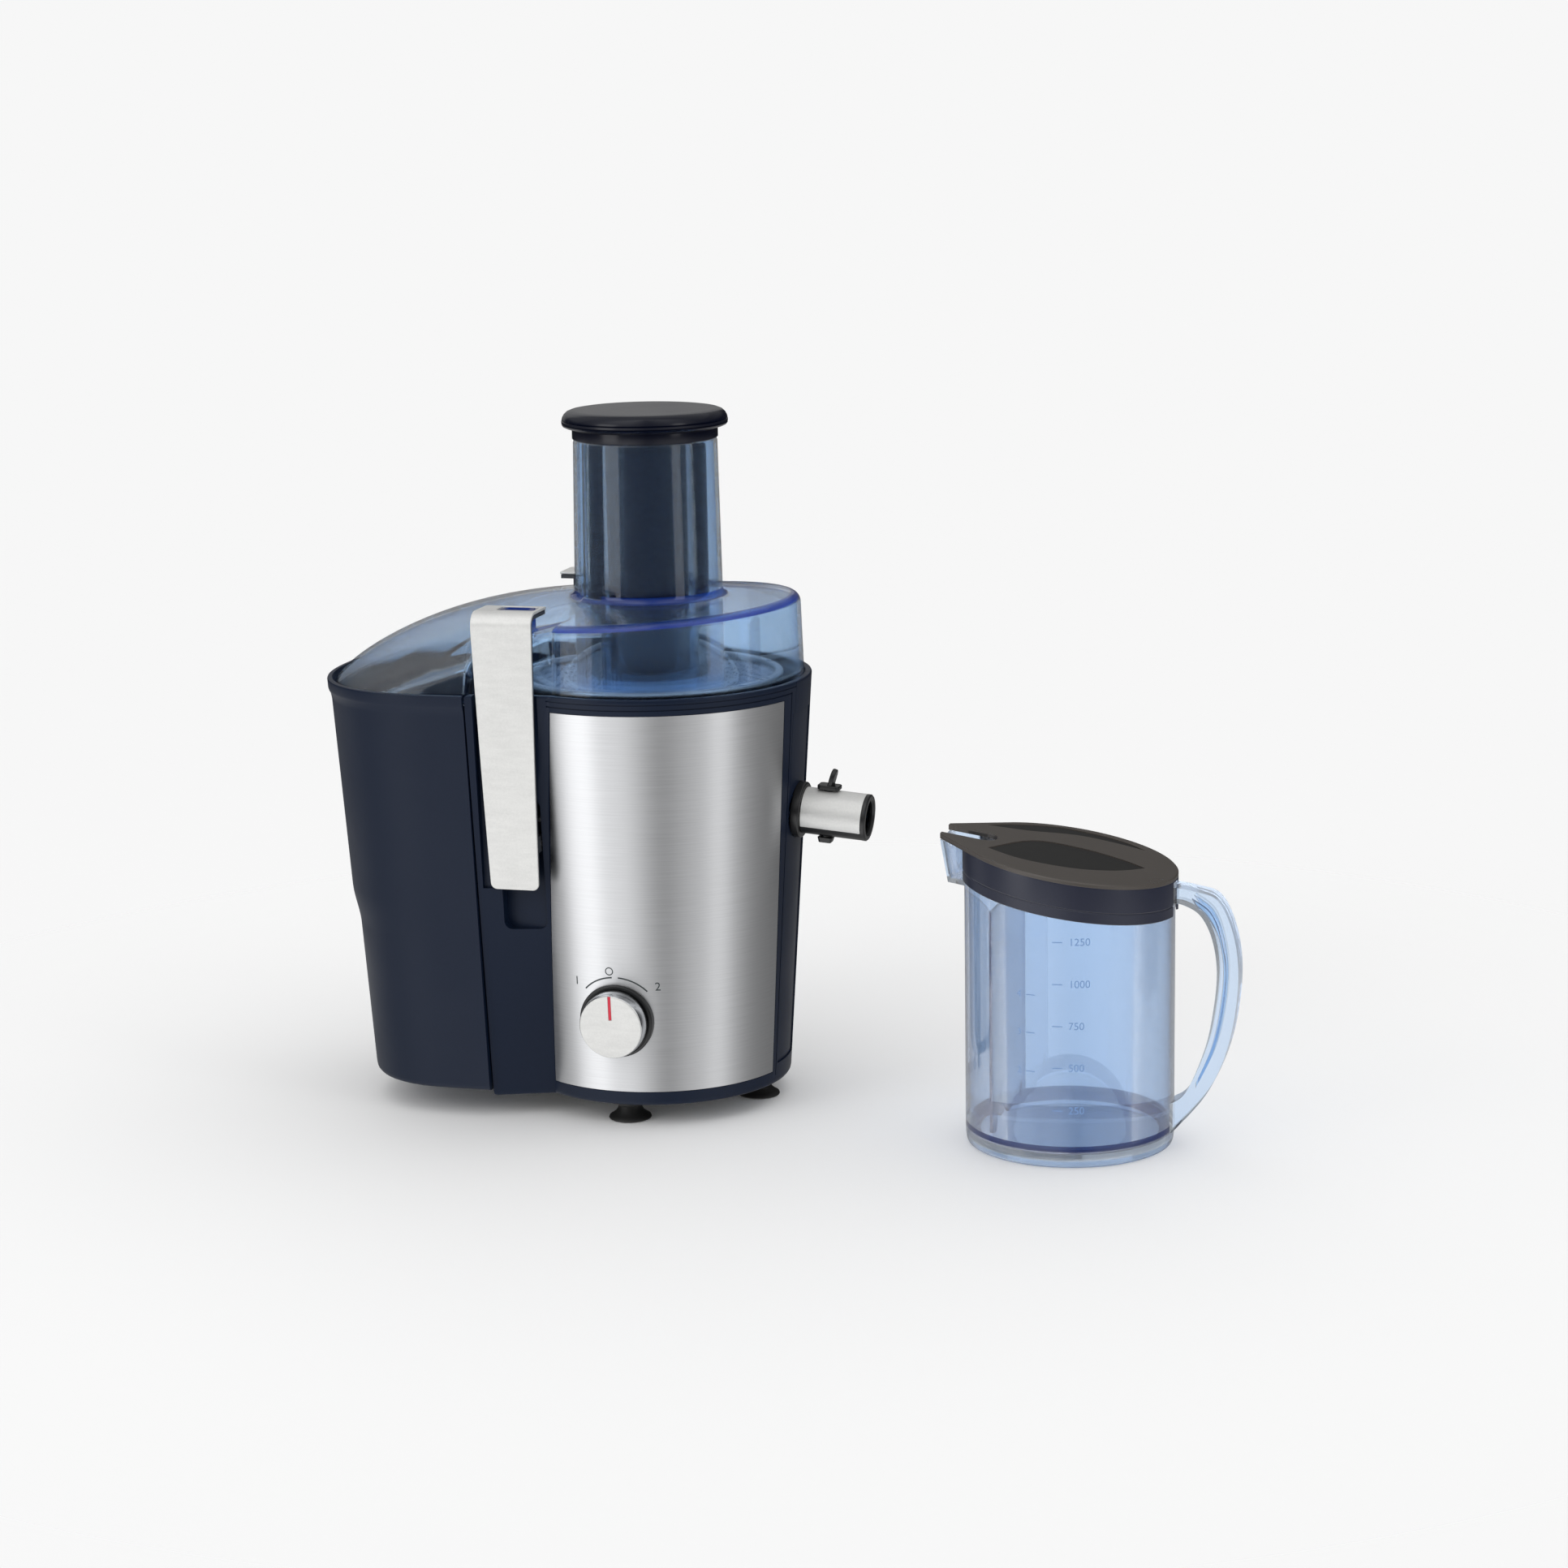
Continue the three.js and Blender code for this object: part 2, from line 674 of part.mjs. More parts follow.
function dripValve(parent) {
  const frame = spoutFrame();
  parent.add(frame);
  const stem = drum(stemRadius, [-spoutBore - 6.5, shroudRadius + 3], undefined, 16);
  const disc = alongX(drum(spoutBore - slideGap, [-1, 1], undefined, 28));
  const saddle = drum(stemRadius + 1.8, [shroudRadius + slideGap, shroudRadius + 3.2], undefined, 20);
  const foot = drum(stemRadius + 1.6, [-shroudRadius - 4, -shroudRadius - slideGap], undefined, 20);
  const tabOutline = roundedRectangle([-7, 7], [shroudRadius + 1, shroudRadius + leverHeight], 2.5, 2);
  const tab = slab(tabOutline, [-1.6, 1.6]);
  tab.rotateX(Math.PI / 2).rotateZ(Math.PI / 2);
  const valve = join(stem, disc, saddle, foot, tab);
  const mesh = add(frame, "drip_valve", valve, blackPlastic());
  mesh.position.x = leverAt;
}

// ---------------------------------------------------------------- filter basket and drive
function filterBasket(parent) {
  const floorTop = basketFloor + basketFloorThickness;
  const coneFoot = [basketFloorRadius - 1, floorTop + clearance];
  const coneHead = [basketRimRadius - 2.2, basketRimTop - 3 - clearance];
  const couplingSeat = drum(6, [basketFloor - 1, basketFloor + 2]);
  const floor = cut(drum(basketFloorRadius, [basketFloor, floorTop], undefined, 32), couplingSeat);
  add(parent, "basket_floor", floor, darkGreyPlastic());
  const sieve = turned([
    [coneFoot[0] - sieveWall * 1.4, coneFoot[1]], coneFoot,
    coneHead, [coneHead[0] - sieveWall * 1.4, coneHead[1]],
  ], 36);
  add(parent, "sieve_screen", sieve, bareSteel());
  const rim = turned([
    [coneHead[0] - 3, basketRimTop - 3], [basketRimRadius, basketRimTop - 3],
    [basketRimRadius, basketRimTop - 0.8], [basketRimRadius - 1.2, basketRimTop],
    [coneHead[0] - 3, basketRimTop],
  ], 36);
  add(parent, "basket_rim", rim, darkGreyPlastic());
  const discBottom = floorTop + clearance;
  const disc = drum(graterRadius - 1.5, [discBottom, discBottom + graterThickness], undefined, 32);
  const teeth = [];
  for (let row = 0; row < 3; row++) {
    for (let i = 0; i < 8; i++) {
      const tooth = drum(1.6, [discBottom + 0.5, discBottom + graterThickness + 1.4], 0.5, 4);
      const angle = (i + row / 3) * (Math.PI / 4);
      const radius = 14 + row * 13;
      teeth.push(tooth.translate(radius * Math.cos(angle), radius * Math.sin(angle), 0));
    }
  }
  add(parent, "grater_disc", join(disc, ...teeth), bareSteel());
}

function drive(parent) {
  const couplingTop = basketFloor - clearance;
  const couplingBottom = hubTop + 1.5;
  const shaft = drum(shaftRadius, [shaftBottom, couplingTop - 4], undefined, 20);
  add(parent, "motor_shaft", shaft, bareSteel());
  const fit = shaftRadius + clearance;
  const lobes = [];
  for (let i = 0; i < 6; i++) {
    const lobe = block([6, hubBore - 0.5], [-2, 2], [couplingBottom, couplingTop]);
    lobes.push(lobe.rotateZ((i * Math.PI) / 3));
  }
  const socket = drum(fit, [couplingBottom - 1, couplingTop - 4 + clearance], undefined, 20);
  const coupling = cut(join(drum(8.5, [couplingBottom, couplingTop]), ...lobes), socket);
  add(parent, "drive_coupling", coupling, blackPlastic());
  const shaftHole = drum(fit, [0, 200], undefined, 20);
  const armature = cut(drum(statorBore - slideGap, [statorZ[0] - 2, statorZ[1] + 2]), shaftHole);
  add(parent, "armature", armature, laminatedSteel());
  add(parent, "commutator", ring(12, fit, [statorZ[1] + 8, statorZ[1] + 24], 24), copper());
  const hubSpan = [46, 58];
  const blades = [];
  for (let i = 0; i < 8; i++) {
    const blade = block([8, 38], [-0.8, 0.8], [48, 58]);
    blades.push(blade.rotateZ((i * Math.PI) / 4));
  }
  const fanHub = join(drum(10, hubSpan, undefined, 24), drum(38, [46, 48.2]), ...blades);
  const fan = cut(fanHub, shaftHole);
  add(parent, "cooling_fan", fan, darkGreyPlastic());
}

// ---------------------------------------------------------------- motor, fixed pieces
function motorBracket(parent, name, z, bearingSide) {
  const span = [z, z + bracketThickness];
  const reach = [-bracketRadius, bracketRadius];
  const arms = [block(reach, [-11, 11], span), block([-11, 11], reach, span)];
  const seat = drum(bearingRadius + 3, bearingSide > 0 ? [z, z + 11] : [z - 7, z + 4], undefined, 24);
  const holeSpan = bearingSide > 0 ? [z + 3.7, z + 12] : [z - 8, z + 0.3];
  const bearingHole = drum(bearingRadius + clearance, holeSpan, undefined, 24);
  const shaftHole = drum(shaftRadius + 2, [z - 20, z + 20], undefined, 20);
  const spider = join(drum(22, span, undefined, 32), ...arms, seat);
  add(parent, name, cut(spider, bearingHole, shaftHole), laminatedSteel());
}

function motor(parent) {
  motorBracket(parent, "lower_motor_bracket", lowerBracketZ, -1);
  motorBracket(parent, "upper_motor_bracket", upperBracketZ, -1);
  const bore = shaftRadius + socketFit;
  for (const [name, z] of [["lower_bearing", lowerBracketZ], ["upper_bearing", upperBracketZ]]) {
    add(parent, name, ring(bearingRadius, bore, [z - bearingHeight, z], 24), bareSteel());
  }
  const [low, high] = statorZ;
  const width = [-statorRadius, statorRadius];
  const core = slab(roundedRectangle(width, width, 12), statorZ);
  const coilSlots = [
    block([statorBore - 8, 33], [-24, 24], [0, 200]),
    block([-33, 8 - statorBore], [-24, 24], [0, 200]),
  ];
  const boreHole = drum(statorBore, [0, 200], undefined, 40);
  add(parent, "stator_core", cut(core, boreHole, ...coilSlots), laminatedSteel());
  for (const [name, side] of [["field_coil_a", 1], ["field_coil_b", -1]]) {
    const span = [statorBore + 0.6, 32.4];
    const coil = block(span, [-23.4, 23.4], [low - 9, high + 9]);
    const mesh = add(parent, name, coil, copper());
    mesh.scale.x = side;
  }
  for (const [name, side] of [["brush_holder_a", 1], ["brush_holder_b", -1]]) {
    const holder = block([12.4, 30], [-4, 4], [statorZ[1] + 12, statorZ[1] + 20]);
    const foot = block([22, 30], [-4, 4], [statorZ[1] + 12, upperBracketZ - clearance]);
    const mesh = add(parent, name, join(holder, foot), blackPlastic());
    mesh.scale.x = side;
  }
  for (let i = 0; i < 4; i++) {
    const turn = (i * Math.PI) / 2;
    const damperSpan = [upperBracketZ + bracketThickness + clearance, deckTop - deckThickness - clearance];
    const damper = drum(6, damperSpan, undefined, 20);
    const mesh = add(parent, "rubber_damper_" + (i + 1), damper, blackRubber());
    mesh.position.set(damperCircle * Math.cos(turn), damperCircle * Math.sin(turn), 0);
  }
  const sealSpan = [deckTop - deckThickness, bowlFloor - clearance];
  const seal = ring(hubBore - clearance, shaftRadius + slideGap, sealSpan, 24);
  add(parent, "shaft_seal", seal, blackRubber());
  const behindPocket = pocketDepth - pocketWall - slideGap;
  const switchBottom = pocketZ[0] + 8;
  const microswitch = block(
    [pocketX[0] + 5, pocketX[0] + 19], [behindPocket - 14, behindPocket], [switchBottom, switchBottom + 22],
  );
  add(parent, "interlock_switch", microswitch, darkGreyPlastic());
}

// ---------------------------------------------------------------- speed switch
function speedSwitch(parent) {
  const frame = knobFrame();
  parent.add(frame);
  const inverse = knobFrame().matrix.clone().invert();
  const body = bodyCone(clearance).applyMatrix4(inverse);
  const bezel = ring(bezelRadius, spindleRadius + 3.5, [-5, bezelProud]);
  add(frame, "knob_bezel", cut(bezel, body), blackPlastic());
  const housing = block([-15, 15], [-14, 14], [-32, -12]);
  const spindleBore = drum(spindleRadius + slideGap, [-40, 0], undefined, 16);
  add(frame, "rotary_switch", cut(housing, spindleBore), darkGreyPlastic());
}

function speedKnob(parent) {
  const frame = knobFrame();
  parent.add(frame);
  const front = bezelProud + knobProud;
  const knob = drum(knobRadius + 0.8, [bezelProud + slideGap, front - 1.2], knobRadius);
  const edge = drum(knobRadius, [front - 1.2, front], knobRadius - 1.2);
  const spindle = drum(spindleRadius, [-26, bezelProud + 3], undefined, 16);
  const groove = block([-1, 1], [4.5, knobRadius + 2], [front - 0.7, front + 1]);
  add(frame, "speed_knob", cut(join(knob, edge, spindle), groove), silverPaint());
  const pointer = block([-0.7, 0.7], [4.8, knobRadius - 1.6], [front - 0.4, front + 0.2]);
  add(frame, "knob_pointer", pointer, redPaint());
}

// ---------------------------------------------------------------- lid with feed chute
// One column of the lid's skin, from its edge in to the chute, shrunk by the wall.
function lidColumn([x, y], wall) {
  const reach = Math.hypot(x, y);
  const direction = Math.atan2(y, x);
  const edge = reach - wall;
  const ridge = ridgeHeight + ridgeSlope * x - wall;
  const crown = crownHeight - wall;
  const base = ledge + flangeThickness + 2 * clearance - (wall > 0 ? 1 : 0);
  const corner = 6;
  const round = [[0.6, base], [1.9, ridge - corner]];
  for (let i = 1; i <= 2; i++) {
    const angle = (i * Math.PI) / 4;
    round.push([1.9 + corner * (1 - Math.cos(angle)), ridge - corner + corner * Math.sin(angle)]);
  }
  const inner = chuteRootRadius - 1;
  const start = 1.9 + corner;
  for (let i = 1; i <= 2; i++) {
    const share = i / 2;
    round.push([mix(start, edge - inner, share), ridge + (crown - ridge) * Math.sin((share * Math.PI) / 2)]);
  }
  const sunk = THREE.MathUtils.smoothstep(Math.abs(direction), radians(112), radians(150));
  return round.map(([inward, z], i) => {
    const angle = (i / (round.length - 1)) * (Math.PI / 2);
    const across = i === round.length - 1 ? 0 : Math.cos(angle);
    const domeZ = base + (crown - base) * Math.sin(angle) ** (2 / 1.3);
    const radius = mix(edge - inward, mix(inner, edge, across), sunk);
    return [radius * Math.cos(direction), radius * Math.sin(direction), mix(z, domeZ, sunk)];
  });
}

function lidShell(wall) {
  const outline = coverOutline(rimTop, lidInset, lidFlankInset, lidEndInset);
  const columns = outline.map((point) => lidColumn(point, wall));
  const rings = columns[0].map((_, level) => columns.map((column) => column[level]));
  return loft(rings);
}

function lid(parent) {
  const bore = (radius) => radius - chuteWall;
  const chute = turned([
    [bore(chuteRootRadius), chuteBottom], [chuteRootRadius, chuteBottom], [chuteRootRadius, crownHeight - 3],
    [chuteTopRadius, chuteTop], [bore(chuteTopRadius), chuteTop], [bore(chuteRootRadius), crownHeight - 3],
  ]);
  const boreCut = drum(bore(chuteRootRadius), [chuteBottom - 1, crownHeight + 8]);
  const hollow = asSolid(lidShell(lidWall));
  const shell = cut(lidShell(0), hollow, boreCut);
  const keyReach = [pusherRadius - 1, bore(chuteRootRadius) + 1];
  const key = block(keyReach, [-keyWidth / 2, keyWidth / 2], [chuteBottom, keyTop]);
  key.rotateZ(radians(keyAngle));
  const lugTop = clampTop - clampSkin - clampLiner - 2 * clearance;
  const lugs = bothSides(block(
    [clampTopX[0] + 13, clampTopX[1] - 3.5], [clampReach + 10, clampReach + 18], [ridgeHeight - 13.5, lugTop],
  ));
  const outsideLugs = lugs.map((lug) => cut(lug, hollow));
  add(parent, "lid", join(shell, chute, key, ...outsideLugs), clearBlue());
}

// ---------------------------------------------------------------- pusher
function pusher(parent) {
  const wallTop = chuteTop + 2;
  const cup = turned([
    [0, pusherBottom], [pusherRadius - 1.5, pusherBottom],
    [pusherRadius, pusherBottom + 1.5], [pusherRadius, wallTop],
    [pusherRadius - pusherWall, wallTop], [pusherRadius - pusherWall, pusherBottom + 3],
    [0, pusherBottom + 3],
  ]);
  const grooveSpan = [pusherBottom - 1, keyTop + 5];
  const groove = block([pusherRadius - 1.6, pusherRadius + 3], [-keyWidth, keyWidth], grooveSpan);
  groove.rotateZ(radians(keyAngle));
  add(parent, "pusher_body", cut(cup, groove), navyPlastic());
  const plugRadius = pusherRadius - pusherWall - clearance;
  const seat = chuteTop + clearance;
  const capBottom = seat + 7;
  const cap = turned([
    [plugRadius - 3, wallTop - 9], [plugRadius, wallTop - 9], [plugRadius, wallTop + clearance],
    [pusherRadius + clearance, wallTop + clearance], [pusherRadius + clearance, seat],
    [capCollarRadius, seat],
    [capCollarRadius, capBottom], [capRadius - 2.2, capBottom + 1], [capRadius, capBottom + 3.4],
    [capRadius, capBottom + 5.6], [capRadius - 1.6, capTop - 2], [capRadius - 5, capTop], [0, capTop],
    [0, capTop - 4], [plugRadius - 3, capTop - 4],
  ]);
  add(parent, "pusher_cap", cap, navyPlastic());
}

// ---------------------------------------------------------------- clamps
function clampFace(z) {
  return mix(clampFaceBottom, clampFaceTop, (z - clampBottom) / (clampTop - clampBottom));
}

// The side view of one layer of a clamp, between two depths under its outer face.
function clampLayer(outer, inner) {
  const side = (depth) => [
    [clampReach, clampTop - depth], [clampFaceTop - 6, clampTop - depth],
    [clampFaceTop - 2 - depth * 0.5, clampTop - 2 - depth * 0.5],
    [clampFaceTop - depth, clampTop - 6], [clampFace(clampBottom) - depth, clampBottom],
  ];
  const outline = [...side(outer), ...side(inner).reverse()];
  const [x0, x1] = [clampTopX[0] - 1, clampTopX[1] + 1];
  const layer = slab(outline, [x0, x1]);
  // outline x is the distance from the middle plane, outline y is height, depth runs along X
  const turn = new THREE.Matrix4().set(0, 0, 1, 0, 1, 0, 0, 0, 0, 1, 0, 0, 0, 0, 0, 1);
  layer.applyMatrix4(turn);
  const taper = slab([
    [clampBottomX[0] + 3, clampBottom], [clampBottomX[1] - 3, clampBottom],
    [clampBottomX[1], clampBottom + 3],
    [clampTopX[1], clampTop + 2], [clampTopX[0], clampTop + 2], [clampBottomX[0], clampBottom + 3],
  ], [-clampFaceTop - 10, 10 - clampReach]).rotateX(Math.PI / 2);
  return common(layer, taper);
}

function clamp(baseGroup, movingGroup, where, side) {
  const frame = new THREE.Group();
  frame.scale.y = side;
  movingGroup.add(frame);
  const fixed = new THREE.Group();
  fixed.scale.y = side;
  baseGroup.add(fixed);
  const windowX = [clampTopX[0] + 12, clampTopX[1] - 2.5];
  const window = block(windowX, [clampReach + 3, clampReach + 17], [clampTop - 10, clampTop + 5]);
  const skin = cut(clampLayer(0, clampSkin), window);
  add(frame, "clamp_skin_" + where, skin, silverPaint());
  const linerOuter = clampSkin + clearance;
  const hinge = [linkPivot[0], linkPivot[1] - linkLength];
  const liner = clampLayer(linerOuter, linerOuter + clampLiner);
  const innerFace = clampFace(hinge[1]) - linerOuter - clampLiner + 0.8;
  const ears = [[pocketX[0] + 1, pocketX[0] + 4], [pocketX[1] - 4, pocketX[1] - 1]].map((span) =>
    block(span, [hinge[0] - linkEye, innerFace], [hinge[1] - 5, hinge[1] + 5]),
  );
  const bar = ([x0, x1], radius, [y, z]) => alongX(drum(radius, [x0, x1], undefined, 14)).translate(0, y, z);
  const earHole = bar(pocketX, pinRadius + clearance, hinge);
  add(frame, "clamp_liner_" + where, cut(join(liner, ...ears), window, earHole), darkGreyPlastic());
  add(frame, "clamp_pin_" + where, bar([pocketX[0] + 0.8, pocketX[1] - 0.8], pinRadius, hinge), bareSteel());
  add(fixed, "link_pin_" + where, bar([pocketX[0] - 2, pocketX[1] + 2], pinRadius, linkPivot), bareSteel());
  const linkSpan = [pocketX[0] + 5, pocketX[1] - 5];
  const web = block(linkSpan, [linkPivot[0] - 2, linkPivot[0] + 2], [hinge[1], linkPivot[1]]);
  const eyes = [bar(linkSpan, linkEye, hinge), bar(linkSpan, linkEye, linkPivot)];
  const holes = [hinge, linkPivot].map((at) => bar(pocketX, pinRadius + clearance, at));
  add(frame, "clamp_link_" + where, cut(join(web, ...eyes), ...holes), bareSteel());
}

// ---------------------------------------------------------------- pulp container
function pulpContainer(parent) {
  const outside = loft([
    [containerBottom, 0], [gripBottom, 0], [gripTop, 0],
    [beadBottom - 3, 0], [beadBottom, rimBead], [rimTop, rimBead],
  ].map(([z, bead]) => containerOutline(z, 0, bead)));
  const inside = [containerBottom + containerWall, gripBottom, gripTop, rimTop + 1];
  const hollow = cut(
    loft(inside.map((z) => containerOutline(z, containerWall))), containerFront(seamGap + containerWall),
  );
  const seatInset = lidEndInset - 2 * slideGap;
  const lidSeat = loft([ledge + 2 * clearance, rimTop + 1].map((z) => (
    coverOutline(z, 0, seatInset, seatInset)
  )));
  const passageSide = sideHalfWidth - 8;
  const passage = block([seamX - 30, 0], [-passageSide, passageSide], [wrapWallTop, rimTop + 5]);
  const body = cut(outside, containerFront(seamGap), hollow, lidSeat, passage);
  add(parent, "pulp_container", body, navyPlastic());
}

// ---------------------------------------------------------------- jug
const jugRimAt = (x) => jugRim + jugSlope * x;
const jugTopAt = (x) => jugLidTop + jugSlope * x;

function circleOutline(radius, height, steps = 40) {
  const points = [];
  for (let i = 0; i < steps; i++) {
    const angle = (i / steps) * 2 * Math.PI;
    const [x, y] = [radius * Math.cos(angle), radius * Math.sin(angle)];
    points.push([x, y, height(x)]);
  }
  return points;
}

// The jug's spout seen from above: straight sides that draw in to a blunt tip.
function pourOutline(inset, height, reach = 1) {
  const [tipX, tipY] = [jugTip[0] * reach, jugTip[1]];
  const points = [
    [-30, 40 - inset],
    [tipX + inset, tipY - inset],
    [tipX + inset, inset - tipY],
    [-30, inset - 40],
  ];
  return points.map(([x, y]) => [x, y, height(x)]);
}

function jug(parent) {
  const cup = loft([
    circleOutline(jugRadius - 1, () => 0),
    circleOutline(jugRadius, () => 6),
    circleOutline(jugRadius, jugRimAt),
  ]);
  const hollow = loft([
    circleOutline(jugRadius - jugWall, () => jugFloor),
    circleOutline(jugRadius - jugWall, (x) => jugRimAt(x) + 30),
  ]);
  const under = drum(jugRadius - 5, [-1, jugFloor - 3], undefined, 40);
  const lipFoot = jugRim - lipDepth;
  const lipTopAt = (x) => jugTopAt(x) - jugLidPlate - 1;
  const lip = common(
    loft([pourOutline(0, () => lipFoot, lipReach), pourOutline(0, lipTopAt)]),
    block([-90, -46], [-60, 60], [100, 250]),
  );
  const lipChannel = loft([
    pourOutline(jugWall, () => lipFoot + jugWall, lipReach),
    pourOutline(jugWall, (x) => lipTopAt(x) + 6),
  ]);
  // distances outside the jug's wall, and heights: down the outside of the grip and back up its inside
  const side = [
    [-1, 164], [13, 163], [27, 154], [36, 136], [40, 112], [38, 84], [32, 58], [21, 34], [3, 12], [-1, 10],
    [-1, 26], [9, 34], [20, 62], [25, 86], [27, 110], [24, 130], [17, 144], [7, 150], [-1, 150],
  ].map(([out, z]) => [jugRadius + out, Math.min(z, jugRimAt(jugRadius + out))]);
  const handle = slab(side, [-handleWidth / 2, handleWidth / 2]);
  handle.rotateX(Math.PI / 2);
  const frame = new THREE.Group();
  frame.position.set(...jugAt, 0);
  parent.add(frame);
  const handleOutside = cut(handle, drum(jugRadius - jugWall, [0, 200], undefined, 48));
  const body = join(cut(join(cup, lip), hollow, lipChannel, under), handleOutside);
  add(frame, "jug", body, clearBlue());
}

// The lid's outline from above: a circle drawn out to a blunt point over the jug's spout.
function lensOutline(radius, height, steps = 36) {
  const [tipX, tipY] = jugTip;
  // the direction in which the straight edge to the tip leaves the circle
  const tangent = Math.atan2(tipY, tipX) - Math.acos(radius / Math.hypot(tipX, tipY));
  const half = [];
  for (let i = 0; i <= steps / 2; i++) {
    const angle = (tangent * i) / (steps / 2);
    half.push([radius * Math.cos(angle), radius * Math.sin(angle)]);
  }
  half.push([tipX, tipY]);
  const other = half.slice(1).reverse().map(([x, y]) => [x, -y]);
  return [...half, ...other].map(([x, y]) => [x, y, height(x)]);
}

function jugLid(parent) {
  const frame = new THREE.Group();
  frame.position.set(...jugAt, 0);
  parent.add(frame);
  const outer = jugRadius + jugLidOverhang;
  const undersideAt = (x) => jugTopAt(x) - jugLidPlate;
  const top = loft([lensOutline(outer, undersideAt), lensOutline(outer, jugTopAt)]);
  const skirtOuter = loft([
    circleOutline(outer, (x) => jugTopAt(x) - jugSkirtHeight),
    circleOutline(outer, (x) => jugTopAt(x) - 1),
  ]);
  const skirtInner = loft([
    circleOutline(jugRadius + clearance, () => 100),
    circleOutline(jugRadius + clearance, undersideAt),
  ]);
  const lipSlot = loft([pourOutline(-slideGap, () => 100), pourOutline(-slideGap, undersideAt)]);
  const handleSlot = block(
    [0, jugRadius + 10],
    [-handleWidth / 2 - slideGap, handleWidth / 2 + slideGap],
    [100, jugTopAt(outer) - jugLidPlate],
  );
  const skirt = cut(skirtOuter, skirtInner, lipSlot, handleSlot);
  const notch = slab(roundedRectangle([-90, -44], [-jugNotch, jugNotch], 6), [100, 250]);
  add(frame, "jug_lid", cut(join(top, skirt), notch), warmGreyPlastic());
}

function foamSeparator(parent) {
  const frame = new THREE.Group();
  frame.position.set(...jugAt, 0);
  parent.add(frame);
  const half = Math.sqrt((jugRadius - jugWall - 1) ** 2 - separatorX ** 2);
  const plate = block(
    [separatorX - separatorThickness / 2, separatorX + separatorThickness / 2],
    [-half, half],
    [jugFloor + 5, jugRim - 21],
  );
  const mouth = block([separatorX - 5, separatorX + 5], [-half + 12, half - 12], [0, jugFloor + 12]);
  add(frame, "foam_separator", cut(plate, mouth), clearBlue());
}

// ---------------------------------------------------------------- assembly
const juicer = new THREE.Group();
juicer.name = "centrifugal_juicer";
for (const build of [
  baseHousing, spoutApron, basePlate, feet, frontPanel, cordGland, juiceBowl, spoutTrim, motor,
  speedSwitch, lid, dripValve, filterBasket, drive, speedKnob, pusher, pulpContainer,
  jug, jugLid, foamSeparator,
]) build(juicer);
clamp(juicer, juicer, "rear", 1);
clamp(juicer, juicer, "front", -1);

// The origin is the middle of the whole set's box, on the surface that it stands on.
juicer.updateMatrixWorld(true);
const extent = new THREE.Box3().setFromObject(juicer, true);
const middle = extent.getCenter(new THREE.Vector3());
juicer.position.set(-middle.x, -middle.y, -extent.min.z);

export default juicer;
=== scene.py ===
# A centrifugal juicer with its jug: motor base with a brushed steel front, clear lid and feed
# chute, pusher, toggle clamps, pulp container, spout with drip lever, and a slanted juice jug.
# Shapes are given in millimetres on the basket's axis, with +X to the spout and -Y to the knob.
import math

import bmesh
import bpy
from mathutils import Matrix, Vector


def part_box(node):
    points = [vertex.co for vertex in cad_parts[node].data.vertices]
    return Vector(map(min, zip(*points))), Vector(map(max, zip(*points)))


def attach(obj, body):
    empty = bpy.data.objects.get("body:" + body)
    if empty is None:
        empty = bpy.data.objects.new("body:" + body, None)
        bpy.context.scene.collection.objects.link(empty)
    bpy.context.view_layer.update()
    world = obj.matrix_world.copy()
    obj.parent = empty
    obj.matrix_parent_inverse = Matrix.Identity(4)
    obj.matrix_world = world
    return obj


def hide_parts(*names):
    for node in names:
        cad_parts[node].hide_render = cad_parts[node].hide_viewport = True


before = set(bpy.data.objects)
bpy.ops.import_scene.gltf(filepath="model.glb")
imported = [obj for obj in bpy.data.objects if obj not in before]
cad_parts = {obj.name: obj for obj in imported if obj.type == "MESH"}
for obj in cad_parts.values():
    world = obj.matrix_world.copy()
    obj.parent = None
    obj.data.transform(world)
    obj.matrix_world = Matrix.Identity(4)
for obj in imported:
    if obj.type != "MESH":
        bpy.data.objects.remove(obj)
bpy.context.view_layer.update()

# ------------------------------------------------------------------ sizes, in millimetres
GAP = 0.3
SLIDE = 0.5
# motor base
FOOT_HEIGHT = 13
RIM = 270
BODY_FOOT = 83.4
BODY_DRAFT = 0.067
RIM_RADIUS = BODY_FOOT + BODY_DRAFT * (RIM - FOOT_HEIGHT)
SHELL = 3
LEDGE = RIM - 7
LIP_WALL = 4
BAY_INSET = 7
BAY_WALL = 2.5
DECK = RIM - 102
SEAM_X = 13.6 - RIM_RADIUS
SEAM_SLOPE = 0.012
FLANK_X = -0.368 * RIM_RADIUS
FLANK_SLOPE = 0.043
SIDE = RIM_RADIUS + 0.9
BASE_SIDE_DRAFT = 0.081
BIN_SIDE_DRAFT = 0.065
PANEL_Z = (22, RIM - 10)
PANEL_LEFT = (-123.8, -110.5)
PANEL_RIGHT = (-16, -18.5)
PANEL_SHEET = 0.8
# knob
KNOB_Z = 68
BEZEL_RADIUS = 23.2
# spout and drip lever
SPOUT_Z = DECK + 18
SPOUT_DROOP = 4.9
SPOUT_REACH = 45
SPOUT_TUBE = 12.4
SHROUD = 14.6
COLLAR = 17.5
LEVER_AT = 18
STEM_RADIUS = 3.4
# filter basket
BASKET_FLOOR = RIM - 38.5
BASKET_RIM = RIM_RADIUS - 17.87
BASKET_TOP = RIM + 1
